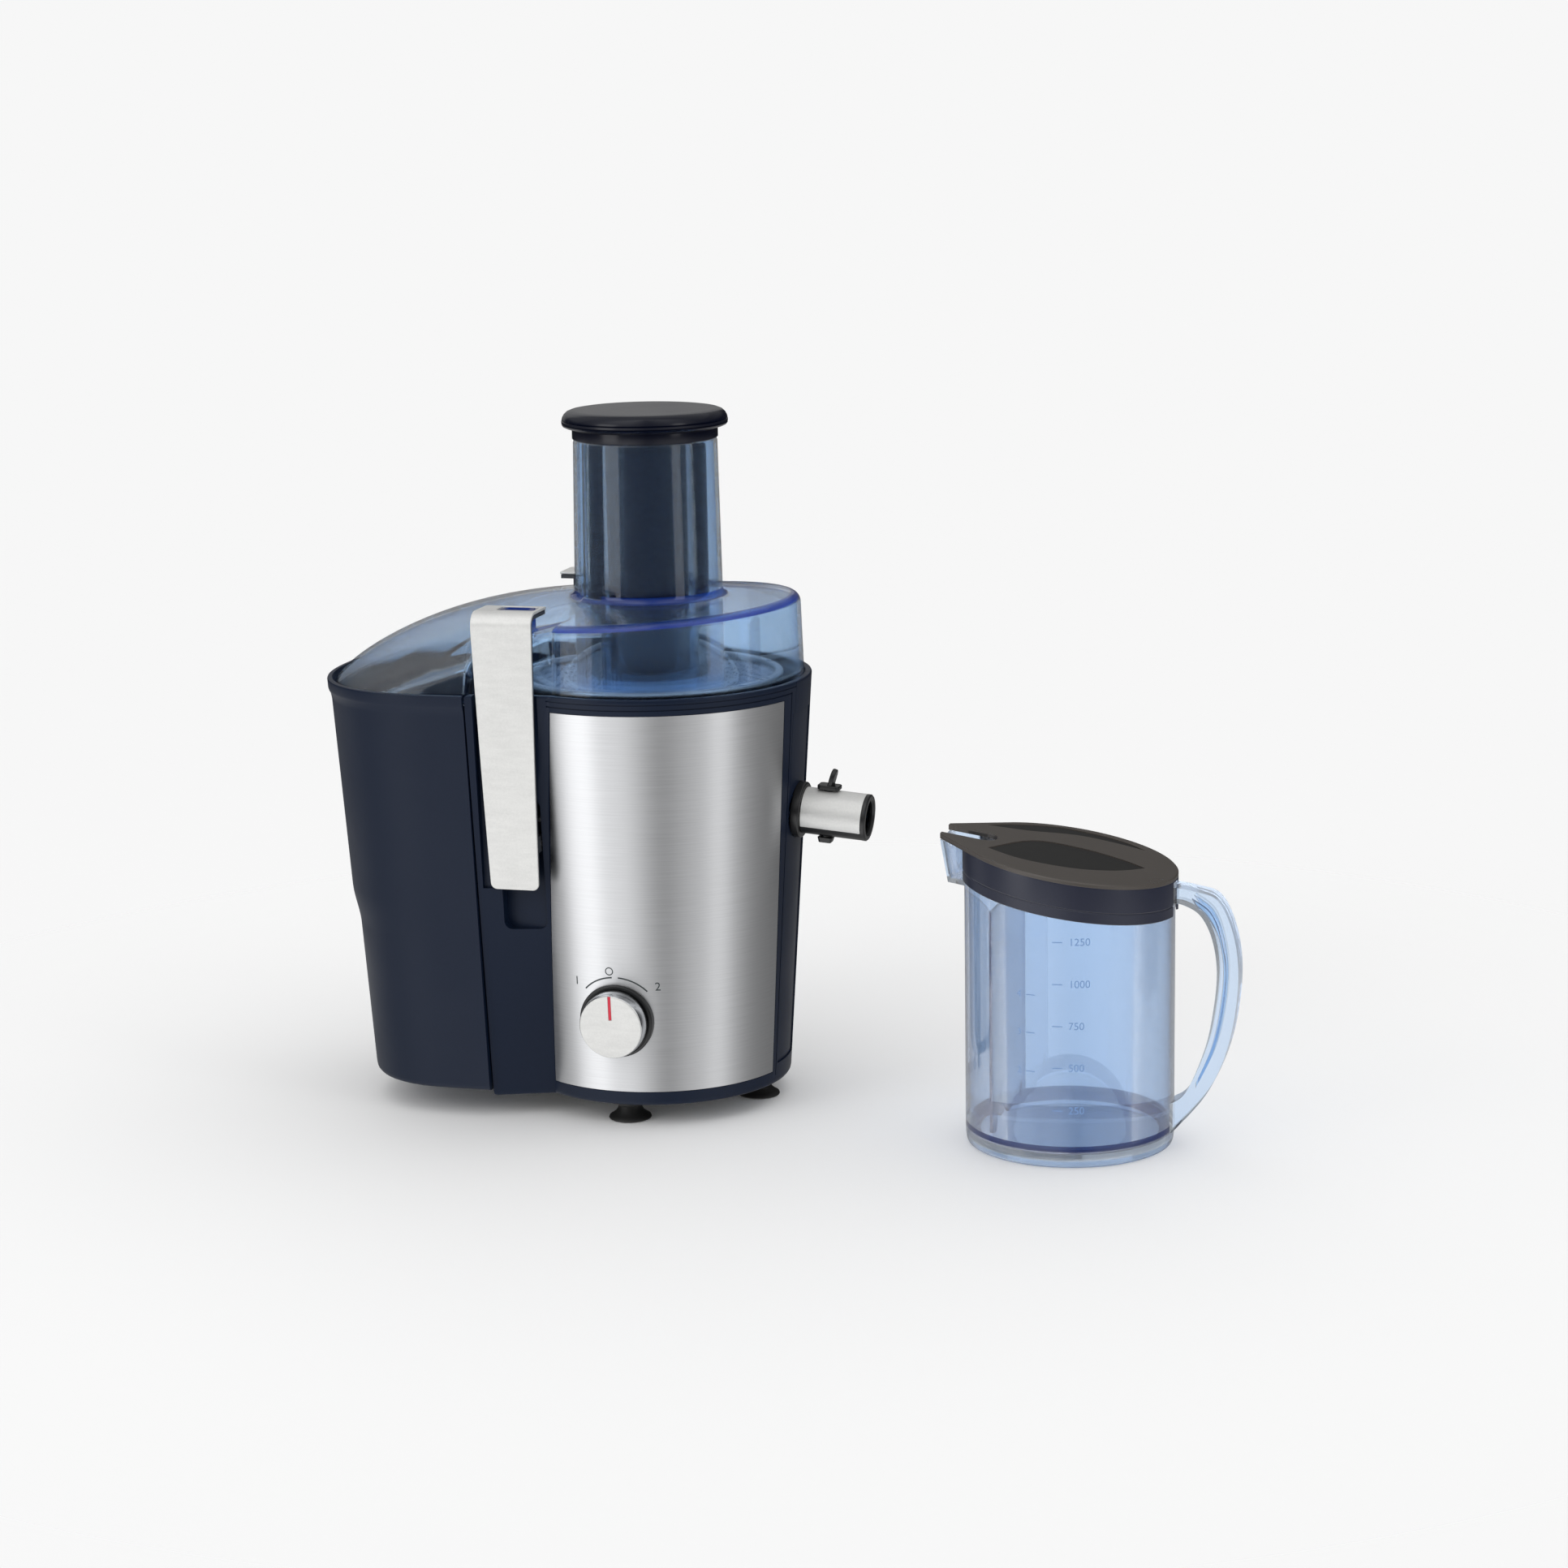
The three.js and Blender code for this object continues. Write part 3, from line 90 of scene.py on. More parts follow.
# lid and feed chute
LID_WALL = 2.6
RIDGE = RIM + 43.5
CROWN = RIM + 49
CHUTE_ROOT = 46
CHUTE_HEAD = 44.5
CHUTE_WALL = 2.5
CHUTE_TOP = RIM + 146
CHUTE_FOOT = BASKET_FLOOR + 11.5
KEY_ANGLE = math.radians(-118)
KEY_TOP = RIM + 24
# pusher
PUSHER = 37.5
CAP_TOP = CHUTE_TOP + 18.5
CAP_RADIUS = CHUTE_HEAD + 6.9
# pulp container
BIN_FLOOR = 17
BIN_WALL = 2.4
END_X = SEAM_X - 26
END_LENGTH = 90
END_POWER = 2.3
GRIP_Z = (113, 137)
GRIP_DEPTH = 3.5
BEAD = 1.6
# toggle clamps and their finger pockets
CLAMP_TOP_X = (SEAM_X + 5, SEAM_X + 43.5)
CLAMP_FOOT_X = (SEAM_X + 10.4, SEAM_X + 41.3)
CLAMP_Z = (RIM - 121, RIM + 51)
CLAMP_FACE = (SIDE - 8.2, SIDE - 1.5)
CLAMP_REACH = SIDE - 31.5
POCKET_X = (SEAM_X + 16, SEAM_X + 42)
POCKET_Z = (CLAMP_Z[0] - 27, CLAMP_Z[0] + 56)
POCKET_BACK = SIDE - 23
# jug and its lid
JUG = 63
JUG_WALL = 2.6
JUG_FLOOR = 7
JUG_RIM = 171
JUG_LID_TOP = 176.7
JUG_SLOPE = 0.159
JUG_TIP = (-13 - JUG, 14)
JUG_NOTCH = 9.5
JUG_SKIRT = 24
JUG_LID_PLATE = 3
LIP_FOOT = JUG_RIM - 12
LIP_REACH = 0.94
GRIP_HALF = 9
FLUTE_HALF = 5.8
SEPARATOR = 0.6 * JUG
# feet and cord gland
FOOT_CIRCLE = 65
GLAND_Z = 36
# clamp hinges and layers
LINK_PIN_Y = SIDE - 17.5
LINK_PIN_Z = CLAMP_Z[0] + 43
CLAMP_PIN_Z = CLAMP_Z[0] + 28
CLAMP_SKIN = 1.6
LINER_DEPTH = (1.9, 4.4)

shaft_low, shaft_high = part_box("motor_shaft")
jug_low, jug_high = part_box("jug")
MM = 0.001
HERE = Matrix.Identity(4)
ON_AXIS = Matrix.Translation(
    ((shaft_low.x + shaft_high.x) / 2, (shaft_low.y + shaft_high.y) / 2, 0)
) @ Matrix.Scale(MM, 4)
JUG_AXIS = Matrix.Translation(
    ON_AXIS.inverted() @ Vector((jug_high.x - (JUG + 40) * MM, (jug_low.y + jug_high.y) / 2, 0))
)


def mix(a, b, share):
    return a + (b - a) * share


def smooth_step(value, low, high):
    share = min(max((value - low) / (high - low), 0), 1)
    return share * share * (3 - 2 * share)


def body_radius(z):
    return BODY_FOOT + BODY_DRAFT * (z - FOOT_HEIGHT)


# ------------------------------------------------------------------ camera, light and floor
camera = bpy.data.objects.new("camera", bpy.data.cameras.new("camera"))
bpy.context.scene.collection.objects.link(camera)
forward = Vector((-0.2593, 0.9440, -0.2042)).normalized()
level = forward.cross(Vector((0, 0, 1))).normalized()
roll = math.radians(-0.99)
right = level * math.cos(roll) + level.cross(forward) * math.sin(roll)
up = right.cross(forward)
camera.matrix_world = Matrix.Translation(ON_AXIS @ Vector((659.5, -2091.6, 654.0))) @ Matrix(
    (right, up, -forward)
).transposed().to_4x4()
camera.data.sensor_width = 36
camera.data.lens = 81.72
bpy.context.scene.camera = camera
bpy.context.scene.view_settings.view_transform = "Standard"


def linear(colour):
    """An sRGB hex colour as linear light."""
    parts = [int(colour[i : i + 2], 16) / 255 for i in (1, 3, 5)]
    return [c / 12.92 if c <= 0.04045 else ((c + 0.055) / 1.055) ** 2.4 for c in parts] + [1]


def node(tree, kind, links=(), **settings):
    """Adds a node: links are pairs of an input and a value or another node's output."""
    made = tree.nodes.new("ShaderNode" + kind)
    for name, value in settings.items():
        setattr(made, name, value)
    for name, value in dict(links).items():
        if isinstance(value, bpy.types.NodeSocket):
            tree.links.new(value, made.inputs[name])
        else:
            made.inputs[name].default_value = value
    return made


def softbox(name, azimuth, distance, height, size, power, aim=220):
    """A large soft lamp on a stand round the juicer, turned to face it."""
    lamp = bpy.data.lights.new(name, "AREA")
    lamp.shape = "RECTANGLE"
    lamp.size, lamp.size_y = size
    lamp.energy = power
    stand = bpy.data.objects.new(name, lamp)
    bpy.context.scene.collection.objects.link(stand)
    turn = math.radians(azimuth)
    stand.location = (distance * math.cos(turn), distance * math.sin(turn), height)
    toward = Vector((0, 0, aim * MM)) - stand.location
    stand.rotation_euler = toward.to_track_quat("-Z", "Y").to_euler()


softbox("key_left", -131, 2.3, 0.7, (1.1, 2.0), 13)
softbox("fill_right", -24, 2.4, 0.9, (0.7, 1.9), 7)
softbox("top", 60, 0.9, 2.3, (2.2, 2.2), 3)
softbox("back", 120, 2.4, 1.2, (2.0, 1.6), 3)

# The studio: one plain pale backdrop all round, and for reflections bright panels to the left and
# right of the camera with dark cloth between them.
world = bpy.data.worlds.new("studio")
bpy.context.scene.world = world
world.use_nodes = True
air = world.node_tree
air.nodes.clear()
seen_from = node(air, "SeparateXYZ", {"Vector": node(air, "TexCoord").outputs["Generated"]})
around = node(air, "Math", {0: seen_from.outputs["Y"], 1: seen_from.outputs["X"]}, operation="ARCTAN2")
turned_share = node(air, "MapRange", {"Value": around.outputs[0], "From Min": -math.pi,
                                      "From Max": math.pi})


def studio_ramp(share, stops):
    """A ramp from a share between 0 and 1 to a grey light, through the stops."""
    made = node(air, "ValToRGB", {"Fac": share})
    elements = made.color_ramp.elements
    for position, light in stops:
        elements.new(position).color = (light, light, light, 1)
    elements.remove(elements[0])
    elements.remove(elements[-1])
    return made.outputs["Color"]


bands = [(0.0, 0.6), (0.06, 1.1), (0.1, 1.5), (0.14, 1.95), (0.23, 1.9), (0.27, 1.2), (0.3, 0.65),
         (0.325, 0.6), (0.36, 1.0), (0.42, 1.3), (0.48, 1.2), (0.53, 0.6), (0.6, 0.4), (0.7, 0.4),
         (0.85, 0.5), (1.0, 0.6)]
walls = studio_ramp(turned_share.outputs["Result"], bands)
ray = node(air, "LightPath")
plain = node(air, "Background", {"Color": linear("#f7f7f7"), "Strength": 1.0})
# Below the table's edge and overhead the panels are bright; at eye level there is dark cloth.
height_share = node(air, "MapRange", {"Value": seen_from.outputs["Z"], "From Min": -1.0, "From Max": 1.0})
tiers = [(0.0, 0.9), (0.37, 0.9), (0.41, 0.05), (0.6, 0.05), (0.68, 0.45), (1.0, 0.7)]
storeys = studio_ramp(height_share.outputs["Result"], tiers)
lit = node(air, "Background", {"Color": walls, "Strength": storeys})
mirrored = node(air, "Math", {0: ray.outputs["Is Glossy Ray"], 1: ray.outputs["Is Transmission Ray"]},
                operation="SUBTRACT", use_clamp=True)
either = node(air, "MixShader", {0: mirrored.outputs[0], 1: plain.outputs[0], 2: lit.outputs[0]})
node(air, "OutputWorld", {"Surface": either.outputs[0]})


# ------------------------------------------------------------------ materials
def surface(name, colour, roughness, **sockets):
    """A new material and its shader, with constants set on the shader's own sockets."""
    made = bpy.data.materials.new(name)
    made.use_nodes = True
    shader = made.node_tree.nodes["Principled BSDF"]
    shader.inputs["Base Color"].default_value = linear(colour)
    shader.inputs["Roughness"].default_value = roughness
    for socket, value in sockets.items():
        shader.inputs[socket.replace("_", " ")].default_value = value
    return made, made.node_tree, shader


def moulded(name, colour, roughness, grain, depth, drift=0.05, tone=0.06, **sockets):
    """Injection-moulded plastic: a grain of the given size and depth in millimetres from the
    mould's spark-eroded wall, gloss that drifts a little, and a faint change of tone."""
    made, tree, shader = surface(name, colour, roughness, **sockets)
    place = node(tree, "TexCoord").outputs["Object"]
    fine = node(tree, "TexNoise", {"Vector": place, "Scale": 1 / (grain * MM), "Detail": 2.0,
                                   "Roughness": 0.6})
    bump = node(tree, "Bump", {"Height": fine.outputs[0], "Strength": 0.35, "Distance": depth * MM})
    tree.links.new(bump.outputs[0], shader.inputs["Normal"])
    cloud = node(tree, "TexNoise", {"Vector": place, "Scale": 1 / 0.06, "Detail": 3.0})
    gloss = node(tree, "MapRange", {"Value": cloud.outputs[0], "From Min": 0.3, "From Max": 0.7,
                                    "To Min": roughness - drift, "To Max": roughness + drift})
    tree.links.new(gloss.outputs[0], shader.inputs["Roughness"])
    shade = node(tree, "MapRange", {"Value": fine.outputs[0], "From Min": 0.25, "From Max": 0.75,
                                    "To Min": 1 - tone, "To Max": 1 + tone})
    tinted = node(tree, "VectorMath", {0: linear(colour)[:3], "Scale": shade.outputs[0]}, operation="SCALE")
    tree.links.new(tinted.outputs[0], shader.inputs["Base Color"])
    return made


# Navy ABS with a satin, spark-eroded skin; the grain is drawn at 0.9 mm, coarser than the real
# 0.2 mm, so that it still shows.
navy_abs = moulded("navy_satin_abs", "#0f1a2d", 0.4, 0.9, 0.05, Specular_IOR_Level=0.18)
# The same plastic from a polished mould: deep gloss with soft reflections.
navy_gloss = moulded("navy_polished_abs", "#050919", 0.2, 3.0, 0.02, 0.03, Specular_IOR_Level=0.3)
black_abs = moulded("black_satin_abs", "#131416", 0.34, 0.8, 0.04)
grey_abs = moulded("dark_grey_glass_filled_nylon", "#34373d", 0.45, 0.9, 0.06)
warm_abs = moulded("warm_grey_polished_abs", "#45403c", 0.3, 0.5, 0.01, tone=0.03)
leaf_abs = moulded("charcoal_matt_abs", "#131312", 0.5, 0.5, 0.03, Specular_IOR_Level=0.3)
skirt_abs = moulded("navy_soft_lid_plastic", "#1d2133", 0.33, 1.2, 0.03)
# Carbon-black rubber: dull, with a slight bloom.
rubber = moulded("black_moulded_rubber", "#0c0c0d", 0.62, 0.8, 0.08, 0.08)
red_inlay = moulded("red_pad_print", "#c8203a", 0.35, 0.6, 0.02)
grey_print = moulded("dark_green_grey_pad_print", "#2b3436", 0.5, 0.6, 0.01)

# Silver-grey lacquer over plastic: fine aluminium flake under a satin clear coat.
silver_paint, tree, shader = surface("silver_flake_lacquer", "#d3d3d1", 0.42, Metallic=0.35,
                                     Coat_Weight=0.25, Coat_Roughness=0.3)
place = node(tree, "TexCoord").outputs["Object"]
flake = node(tree, "TexNoise", {"Vector": place, "Scale": 1 / (1.3 * MM), "Detail": 3.0, "Roughness": 0.7})
streak_room = node(tree, "Mapping", {"Vector": place, "Scale": (1 / 0.014, 1 / 0.014, 1 / 0.003)})
streak = node(tree, "TexNoise", {"Vector": streak_room.outputs[0], "Scale": 1.0, "Detail": 4.0})
both = node(tree, "Math", {0: flake.outputs[0], 1: streak.outputs[0]}, operation="ADD")
shade = node(tree, "MapRange", {"Value": both.outputs[0], "From Min": 0.7, "From Max": 1.3,
                                "To Min": 0.93, "To Max": 1.05})
tinted = node(tree, "VectorMath", {0: linear("#d3d3d1")[:3], "Scale": shade.outputs[0]}, operation="SCALE")
tree.links.new(tinted.outputs[0], shader.inputs["Base Color"])
bump = node(tree, "Bump", {"Height": flake.outputs[0], "Strength": 0.2, "Distance": 0.03 * MM})
tree.links.new(bump.outputs[0], shader.inputs["Normal"])


def brushed(name, colour, roughness, line, anisotropic, flat_map=None):
    """Steel finished with a belt: short scratches run round the part, each about one line wide in
    millimetres, so that highlights spread up and down it."""
    made, tree, shader = surface(name, colour, roughness, Metallic=1.0, Anisotropic=anisotropic)
    if flat_map:
        place = node(tree, "UVMap", uv_map=flat_map).outputs["UV"]
        way = node(tree, "Tangent", direction_type="UV_MAP", uv_map=flat_map)
        stretch = (1 / line, 1 / (line * 60), 1)
    else:
        place = node(tree, "TexCoord").outputs["Object"]
        way = node(tree, "Tangent", direction_type="RADIAL", axis="Z")
        stretch = (1000 / (line * 25), 1000 / (line * 25), 1000 / line)
    tree.links.new(way.outputs[0], shader.inputs["Tangent"])
    room = node(tree, "Mapping", {"Vector": place, "Scale": stretch})
    lines = node(tree, "TexNoise", {"Vector": room.outputs[0], "Scale": 1.0, "Detail": 5.0,
                                    "Roughness": 0.65})
    shade = node(tree, "MapRange", {"Value": lines.outputs[0], "From Min": 0.25, "From Max": 0.75,
                                    "To Min": 0.9, "To Max": 1.06})
    tinted = node(tree, "VectorMath", {0: linear(colour)[:3], "Scale": shade.outputs[0]}, operation="SCALE")
    tree.links.new(tinted.outputs[0], shader.inputs["Base Color"])
    gloss = node(tree, "MapRange", {"Value": lines.outputs[0], "From Min": 0.25, "From Max": 0.75,
                                    "To Min": roughness - 0.06, "To Max": roughness + 0.06})
    tree.links.new(gloss.outputs[0], shader.inputs["Roughness"])
    bump = node(tree, "Bump", {"Height": lines.outputs[0], "Strength": 0.12, "Distance": 0.02 * MM})
    tree.links.new(bump.outputs[0], shader.inputs["Normal"])
    return made


panel_steel = brushed("brushed_stainless_front", "#d2d3d5", 0.42, 0.8, 0.85, "brush")
bare_steel = brushed("turned_stainless_steel", "#b9bcc0", 0.3, 0.8, 0.4)
chrome = brushed("chromed_knob_side", "#cfd1d4", 0.14, 1.5, 0.2)
copper = brushed("enamelled_copper_winding", "#a85c30", 0.38, 0.7, 0.3)
laminated = brushed("stacked_silicon_steel", "#6e7276", 0.48, 0.6, 0.2)

# Perforated stainless sheet: round holes about 2.4 mm apart, drawn coarser than the real 0.9 mm so
# that they show.
sieve_steel, tree, shader = surface("etched_sieve_steel", "#aeb6c2", 0.34, Metallic=1.0)
place = node(tree, "TexCoord").outputs["Object"]
cells = node(tree, "TexVoronoi", {"Vector": place, "Scale": 1 / (2.4 * MM), "Randomness": 0.15},
             feature="F1")
hole = node(tree, "MapRange", {"Value": cells.outputs["Distance"], "From Min": 0.24, "From Max": 0.34,
                               "To Min": 0.0, "To Max": 1.0})
# Painted shade: the colour is darkened to a quarter inside each hole, where the sheet is seen through.
painted_hole_shade = node(tree, "MapRange", {"Value": hole.outputs[0], "To Min": 0.25, "To Max": 1.0})
tinted = node(tree, "VectorMath", {0: linear("#aeb6c2")[:3], "Scale": painted_hole_shade.outputs[0]}, operation="SCALE")
tree.links.new(tinted.outputs[0], shader.inputs["Base Color"])
bump = node(tree, "Bump", {"Height": hole.outputs[0], "Strength": 0.6, "Distance": 0.2 * MM})
tree.links.new(bump.outputs[0], shader.inputs["Normal"])


def clear(name, face, edge, alpha, through=1.0):
    """Transparent styrene plastic from a polished mould: pale through its thin face, deep where it
    is seen along the wall, with the faint waviness of the mould's flow."""
    made, tree, shader = surface(name, face, 0.04, IOR=1.49, Transmission_Weight=through, Alpha=alpha)
    facing = node(tree, "LayerWeight", {"Blend": 0.35})
    depth = node(tree, "MapRange", {"Value": facing.outputs["Facing"], "From Min": 0.45, "From Max": 1.0})
    tint = node(tree, "Mix", {"Factor": depth.outputs[0], 6: linear(face), 7: linear(edge)},
                data_type="RGBA")
    tree.links.new(tint.outputs[2], shader.inputs["Base Color"])
    place = node(tree, "TexCoord").outputs["Object"]
    flow = node(tree, "TexNoise", {"Vector": place, "Scale": 1 / 0.03, "Detail": 1.0})
    bump = node(tree, "Bump", {"Height": flow.outputs[0], "Strength": 0.15, "Distance": 0.3 * MM})
    tree.links.new(bump.outputs[0], shader.inputs["Normal"])
    return made


lid_clear = clear("clear_blue_lid_san", "#b9dcfe", "#5598f2", 0.6)
# Deep blue painted shade for chosen faces of the lid, standing in for light piped along its wall.
lid_painted_edge_shade = clear("clear_blue_painted_edge_shade", "#1a46ac", "#0a1f80", 0.9, 0.7)
jug_clear = clear("clear_blue_jug_san", "#c0daf9", "#3f7bd6", 0.7)
# Mid blue and deep blue painted shade for chosen faces of the jug and its separator, standing in for light
# piped along the wall.
jug_painted_flute_shade = clear("clear_blue_painted_flute_shade", "#5c97e0", "#1f56b0", 0.85)
jug_painted_edge_shade = clear("clear_blue_painted_deep_shade", "#0b2560", "#040f3c", 0.95, 0.3)
bowl_clear = clear("clear_blue_bowl_san", "#bcd6f2", "#4a78c0", 0.8)
scale_relief = moulded("blue_scale_relief", "#6f8fbd", 0.3, 0.8, 0.01)


# ------------------------------------------------------------------ shaping
def shape(points, faces, at=HERE):
    """A closed mesh from points in millimetres, with its faces turned outwards."""
    work = bmesh.new()
    held = [work.verts.new(ON_AXIS @ (at @ Vector(p))) for p in points]
    for face in faces:
        work.faces.new([held[i] for i in face])
    bmesh.ops.remove_doubles(work, verts=work.verts[:], dist=1e-8)
    loose = [edge for edge in work.edges if not edge.link_faces]
    bmesh.ops.delete(work, geom=loose, context="EDGES")
    bmesh.ops.recalc_face_normals(work, faces=work.faces[:])
    mesh = bpy.data.meshes.new("shape")
    work.to_mesh(mesh)
    work.free()
    made = bpy.data.objects.new("shape", mesh)
    bpy.context.scene.collection.objects.link(made)
    return made


def loft(rings, at=HERE):
    """A closed skin through rings of points, with flat ends."""
    count = len(rings[0])
    faces = []
    for start in range(0, count * (len(rings) - 1), count):
        for i in range(count):
            a, b = start + i, start + (i + 1) % count
            faces.append((a, b, b + count, a + count))
    last = count * (len(rings) - 1)
    faces += [tuple(range(count)), tuple(range(last, last + count))]
    return shape([p for ring in rings for p in ring], faces, at)


def hoop(sections, at=HERE):
    """A closed section carried round until it meets itself."""
    count, turns = len(sections[0]), len(sections)
    faces = []
    for turn in range(turns):
        for i in range(count):
            j, ahead = (i + 1) % count, (turn + 1) % turns
            faces.append((turn * count + i, turn * count + j, ahead * count + j, ahead * count + i))
    return shape([p for section in sections for p in section], faces, at)


def turned(profile, at=HERE, steps=96):
    """A profile of (radius, height) turned on a lathe about Z."""
    sections = []
    for step in range(steps):
        turn = 2 * math.pi * step / steps
        sections.append([(r * math.cos(turn), r * math.sin(turn), z) for r, z in profile])
    return hoop(sections, at)


def slab(outline, z, at=HERE):
    return loft([[(x, y, height) for x, y in outline] for height in z], at)


def block(x, y, z, at=HERE):
    return slab([(x[0], y[0]), (x[1], y[0]), (x[1], y[1]), (x[0], y[1])], z, at)


def ring_points(radius, steps):
    turns = [2 * math.pi * i / steps for i in range(steps)]
    return [(radius * math.cos(t), radius * math.sin(t)) for t in turns]


def drum(radius, z, top=None, at=HERE, steps=64):
    top = radius if top is None else top
    ends = zip((radius, top), z)
    return loft([[(x, y, height) for x, y in ring_points(r, steps)] for r, height in ends], at)


def rounded(x, y, radius, steps=6):
    """A rectangle with rounded corners."""
    outline = []
    corners = [(x[1], y[1]), (x[0], y[1]), (x[0], y[0]), (x[1], y[0])]
    for quarter, (cx, cy) in enumerate(corners):
        mx = cx - radius if cx == x[1] else cx + radius
        my = cy - radius if cy == y[1] else cy + radius
        for i in range(steps + 1):
            turn = (quarter + i / steps) * math.pi / 2
            outline.append((mx + radius * math.cos(turn), my + radius * math.sin(turn)))
    return outline


def arc(centre, radius, start, end, steps=6):
    """Points of a (radius, height) profile on an arc between two directions in degrees."""
    turns = [math.radians(mix(start, end, i / steps)) for i in range(steps + 1)]
    return [(centre[0] + radius * math.cos(t), centre[1] + radius * math.sin(t)) for t in turns]


def smooth_line(points, steps=6):
    """A curve that passes through the points."""
    ends = [points[0]] + list(points) + [points[-1]]
    line = []
    for a, b, c, d in zip(ends, ends[1:], ends[2:], ends[3:]):
        for i in range(steps):
            t = i / steps
            line.append(tuple(
                0.5 * (2 * q + (r - p) * t + (2 * p - 5 * q + 4 * r - s) * t**2
                       + (3 * q - p - 3 * r + s) * t**3)
                for p, q, r, s in zip(a, b, c, d)
            ))
    return line + [tuple(points[-1])]


def settle(obj):
    """Makes the modifiers' result the piece's own mesh."""
    bpy.context.view_layer.update()
    result = obj.evaluated_get(bpy.context.evaluated_depsgraph_get())
    obj.data = bpy.data.meshes.new_from_object(result)
    obj.modifiers.clear()
    return obj


def combine(first, operation, *others):
    for other in others:
        step = first.modifiers.new("step", "BOOLEAN")
        step.operation, step.object, step.solver = operation, other, "MANIFOLD"
    settle(first)
    for other in others:
        bpy.data.objects.remove(other)
    return first


def cut(first, *tools):
    return combine(first, "DIFFERENCE", *tools)


def join(first, *others):
    return combine(first, "UNION", *others)


def shared(first, other):
    return combine(first, "INTERSECT", other)


def ease_edges(obj, width, segments=3, angle=40):
    """Rounds every edge sharper than the angle, as a mould's edges are."""
    step = obj.modifiers.new("edges", "BEVEL")
    step.width, step.segments = width * MM, segments
    step.limit_method, step.angle_limit = "ANGLE", math.radians(angle)
    return settle(obj)


def piece(obj, name, material, body, slot, *stands_for, sharp=32):
    """Names a finished piece, gives it its material and fixes it to its body."""
    obj.data.materials.clear()
    obj.data.materials.append(material)
    obj.data.shade_smooth()
    obj.data.set_sharp_from_angle(angle=math.radians(sharp))
    even = obj.modifiers.new("even", "WEIGHTED_NORMAL")
    even.keep_sharp = True
    settle(obj)
    obj.name = obj.data.name = name
    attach(obj, body)
    if stands_for:
        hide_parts(*stands_for)
    return obj


# ------------------------------------------------------------------ outlines seen from above
def seam_at(z):
    """Where the pulp container's face meets the base."""
    return SEAM_X + SEAM_SLOPE * (RIM - z)


def base_side(z):
    return SIDE - BASE_SIDE_DRAFT * (RIM - z)


def bin_side(z):
    return SIDE - BIN_SIDE_DRAFT * (RIM - z)


def body_arc(z, inset, steps=72):
    start = FLANK_X - FLANK_SLOPE * (RIM - z)
    last = math.acos(start / body_radius(z))
    radius = body_radius(z) - inset
    return [(radius * math.cos(last * i / steps), radius * math.sin(last * i / steps))
            for i in range(steps + 1)]


def back_wall(x, side, radius, steps=24):
    """The base's wall toward the container: flat, bulging where the round shell comes through."""
    points = []
    for i in range(steps + 1):
        y = side * (1 - i / steps)
        behind = -math.sqrt(radius * radius - y * y) if radius > y else 0
        points.append((min(x, behind), y))
    return points


def rounded_end(length, side, steps=40):
    points = []
    for i in range(steps + 1):
        turn = i / steps * math.pi / 2
        along = 1 if i == steps else math.sin(turn) ** (2 / END_POWER)
        across = 0 if i == steps else math.cos(turn) ** (2 / END_POWER)
        points.append((END_X - length * along, side * across))
    return points


def whole(half, z):
    """A half outline and its mirror image, at one height."""
    return [(x, y, z) for x, y in half] + [(x, -y, z) for x, y in reversed(half[1:-1])]


def base_outline(z, inset):
    wall = back_wall(seam_at(z) + inset, base_side(z) - inset, body_radius(z) - inset)
    return whole(body_arc(z, inset) + wall, z)


def end_reach(z):
    grip = min(max((GRIP_Z[1] - z) / (GRIP_Z[1] - GRIP_Z[0]), 0), 1)
    return END_LENGTH - BIN_SIDE_DRAFT * (RIM - z) - GRIP_DEPTH * (3 * grip**2 - 2 * grip**3)


def bin_outline(z, inset, bead=0):
    side = bin_side(z) - inset + bead
    half = [(FLANK_X, 0), (FLANK_X, side)] + rounded_end(end_reach(z) - inset + bead, side)
    return whole(half, z)


def cover_outline(z, inset, flank_inset, end_inset, steps=72):
    flank = [(seam_at(z), base_side(z) - flank_inset), (seam_at(z) - 2, bin_side(z) - end_inset)]
    return whole(body_arc(z, inset, steps) + flank
                 + rounded_end(END_LENGTH - end_inset, bin_side(z) - end_inset), z)


def bin_front(gap):
    """All that lies on the base's side of the container, grown by a gap."""
    grown = loft([base_outline(z, -gap) for z in (12, 70, 113, 137, 190, 230, 272)])
    beyond = loft([[(seam_at(z) - gap, -150, z), (0, -150, z), (0, 150, z), (seam_at(z) - gap, 150, z)]
                   for z in (12, 272)])
    return join(grown, beyond)


def wall_patch(z, left, right, inner, outer, steps=48, levels=8):
    """A patch of the round wall between two depths, with edges that may lean."""
    rings = []
    for level in range(levels + 1):
        share = level / levels
        height = mix(z[0], z[1], share)
        sides = mix(left[0], left[1], share), mix(right[0], right[1], share)
        turns = [math.radians(mix(*sides, i / steps)) for i in range(steps + 1)]
        radii = body_radius(height) + outer, body_radius(height) + inner
        ring = [(radii[0] * math.cos(t), radii[0] * math.sin(t), height) for t in turns]
        rings.append(ring + [(radii[1] * math.cos(t), radii[1] * math.sin(t), height)
                             for t in reversed(turns)])
    return loft(rings)


FLIPPED = {1: HERE, -1: Matrix.Scale(-1, 4, (0, 1, 0))}
LYING_X = Matrix.Rotation(math.pi / 2, 4, "Y")
LYING_Y = Matrix.Rotation(-math.pi / 2, 4, "X")
SPOUT_TILT = Matrix.Rotation(math.radians(SPOUT_DROOP), 4, "Y")
SPOUT = Matrix.Translation((body_radius(SPOUT_Z), 0, SPOUT_Z)) @ SPOUT_TILT
STEM = SPOUT @ Matrix.Translation((LEVER_AT, 0, 0))
KNOB_TILT = Matrix.Rotation(math.pi / 2 + math.atan(BODY_DRAFT), 4, "X")
KNOB = Matrix.Translation((0, -body_radius(KNOB_Z), KNOB_Z)) @ KNOB_TILT


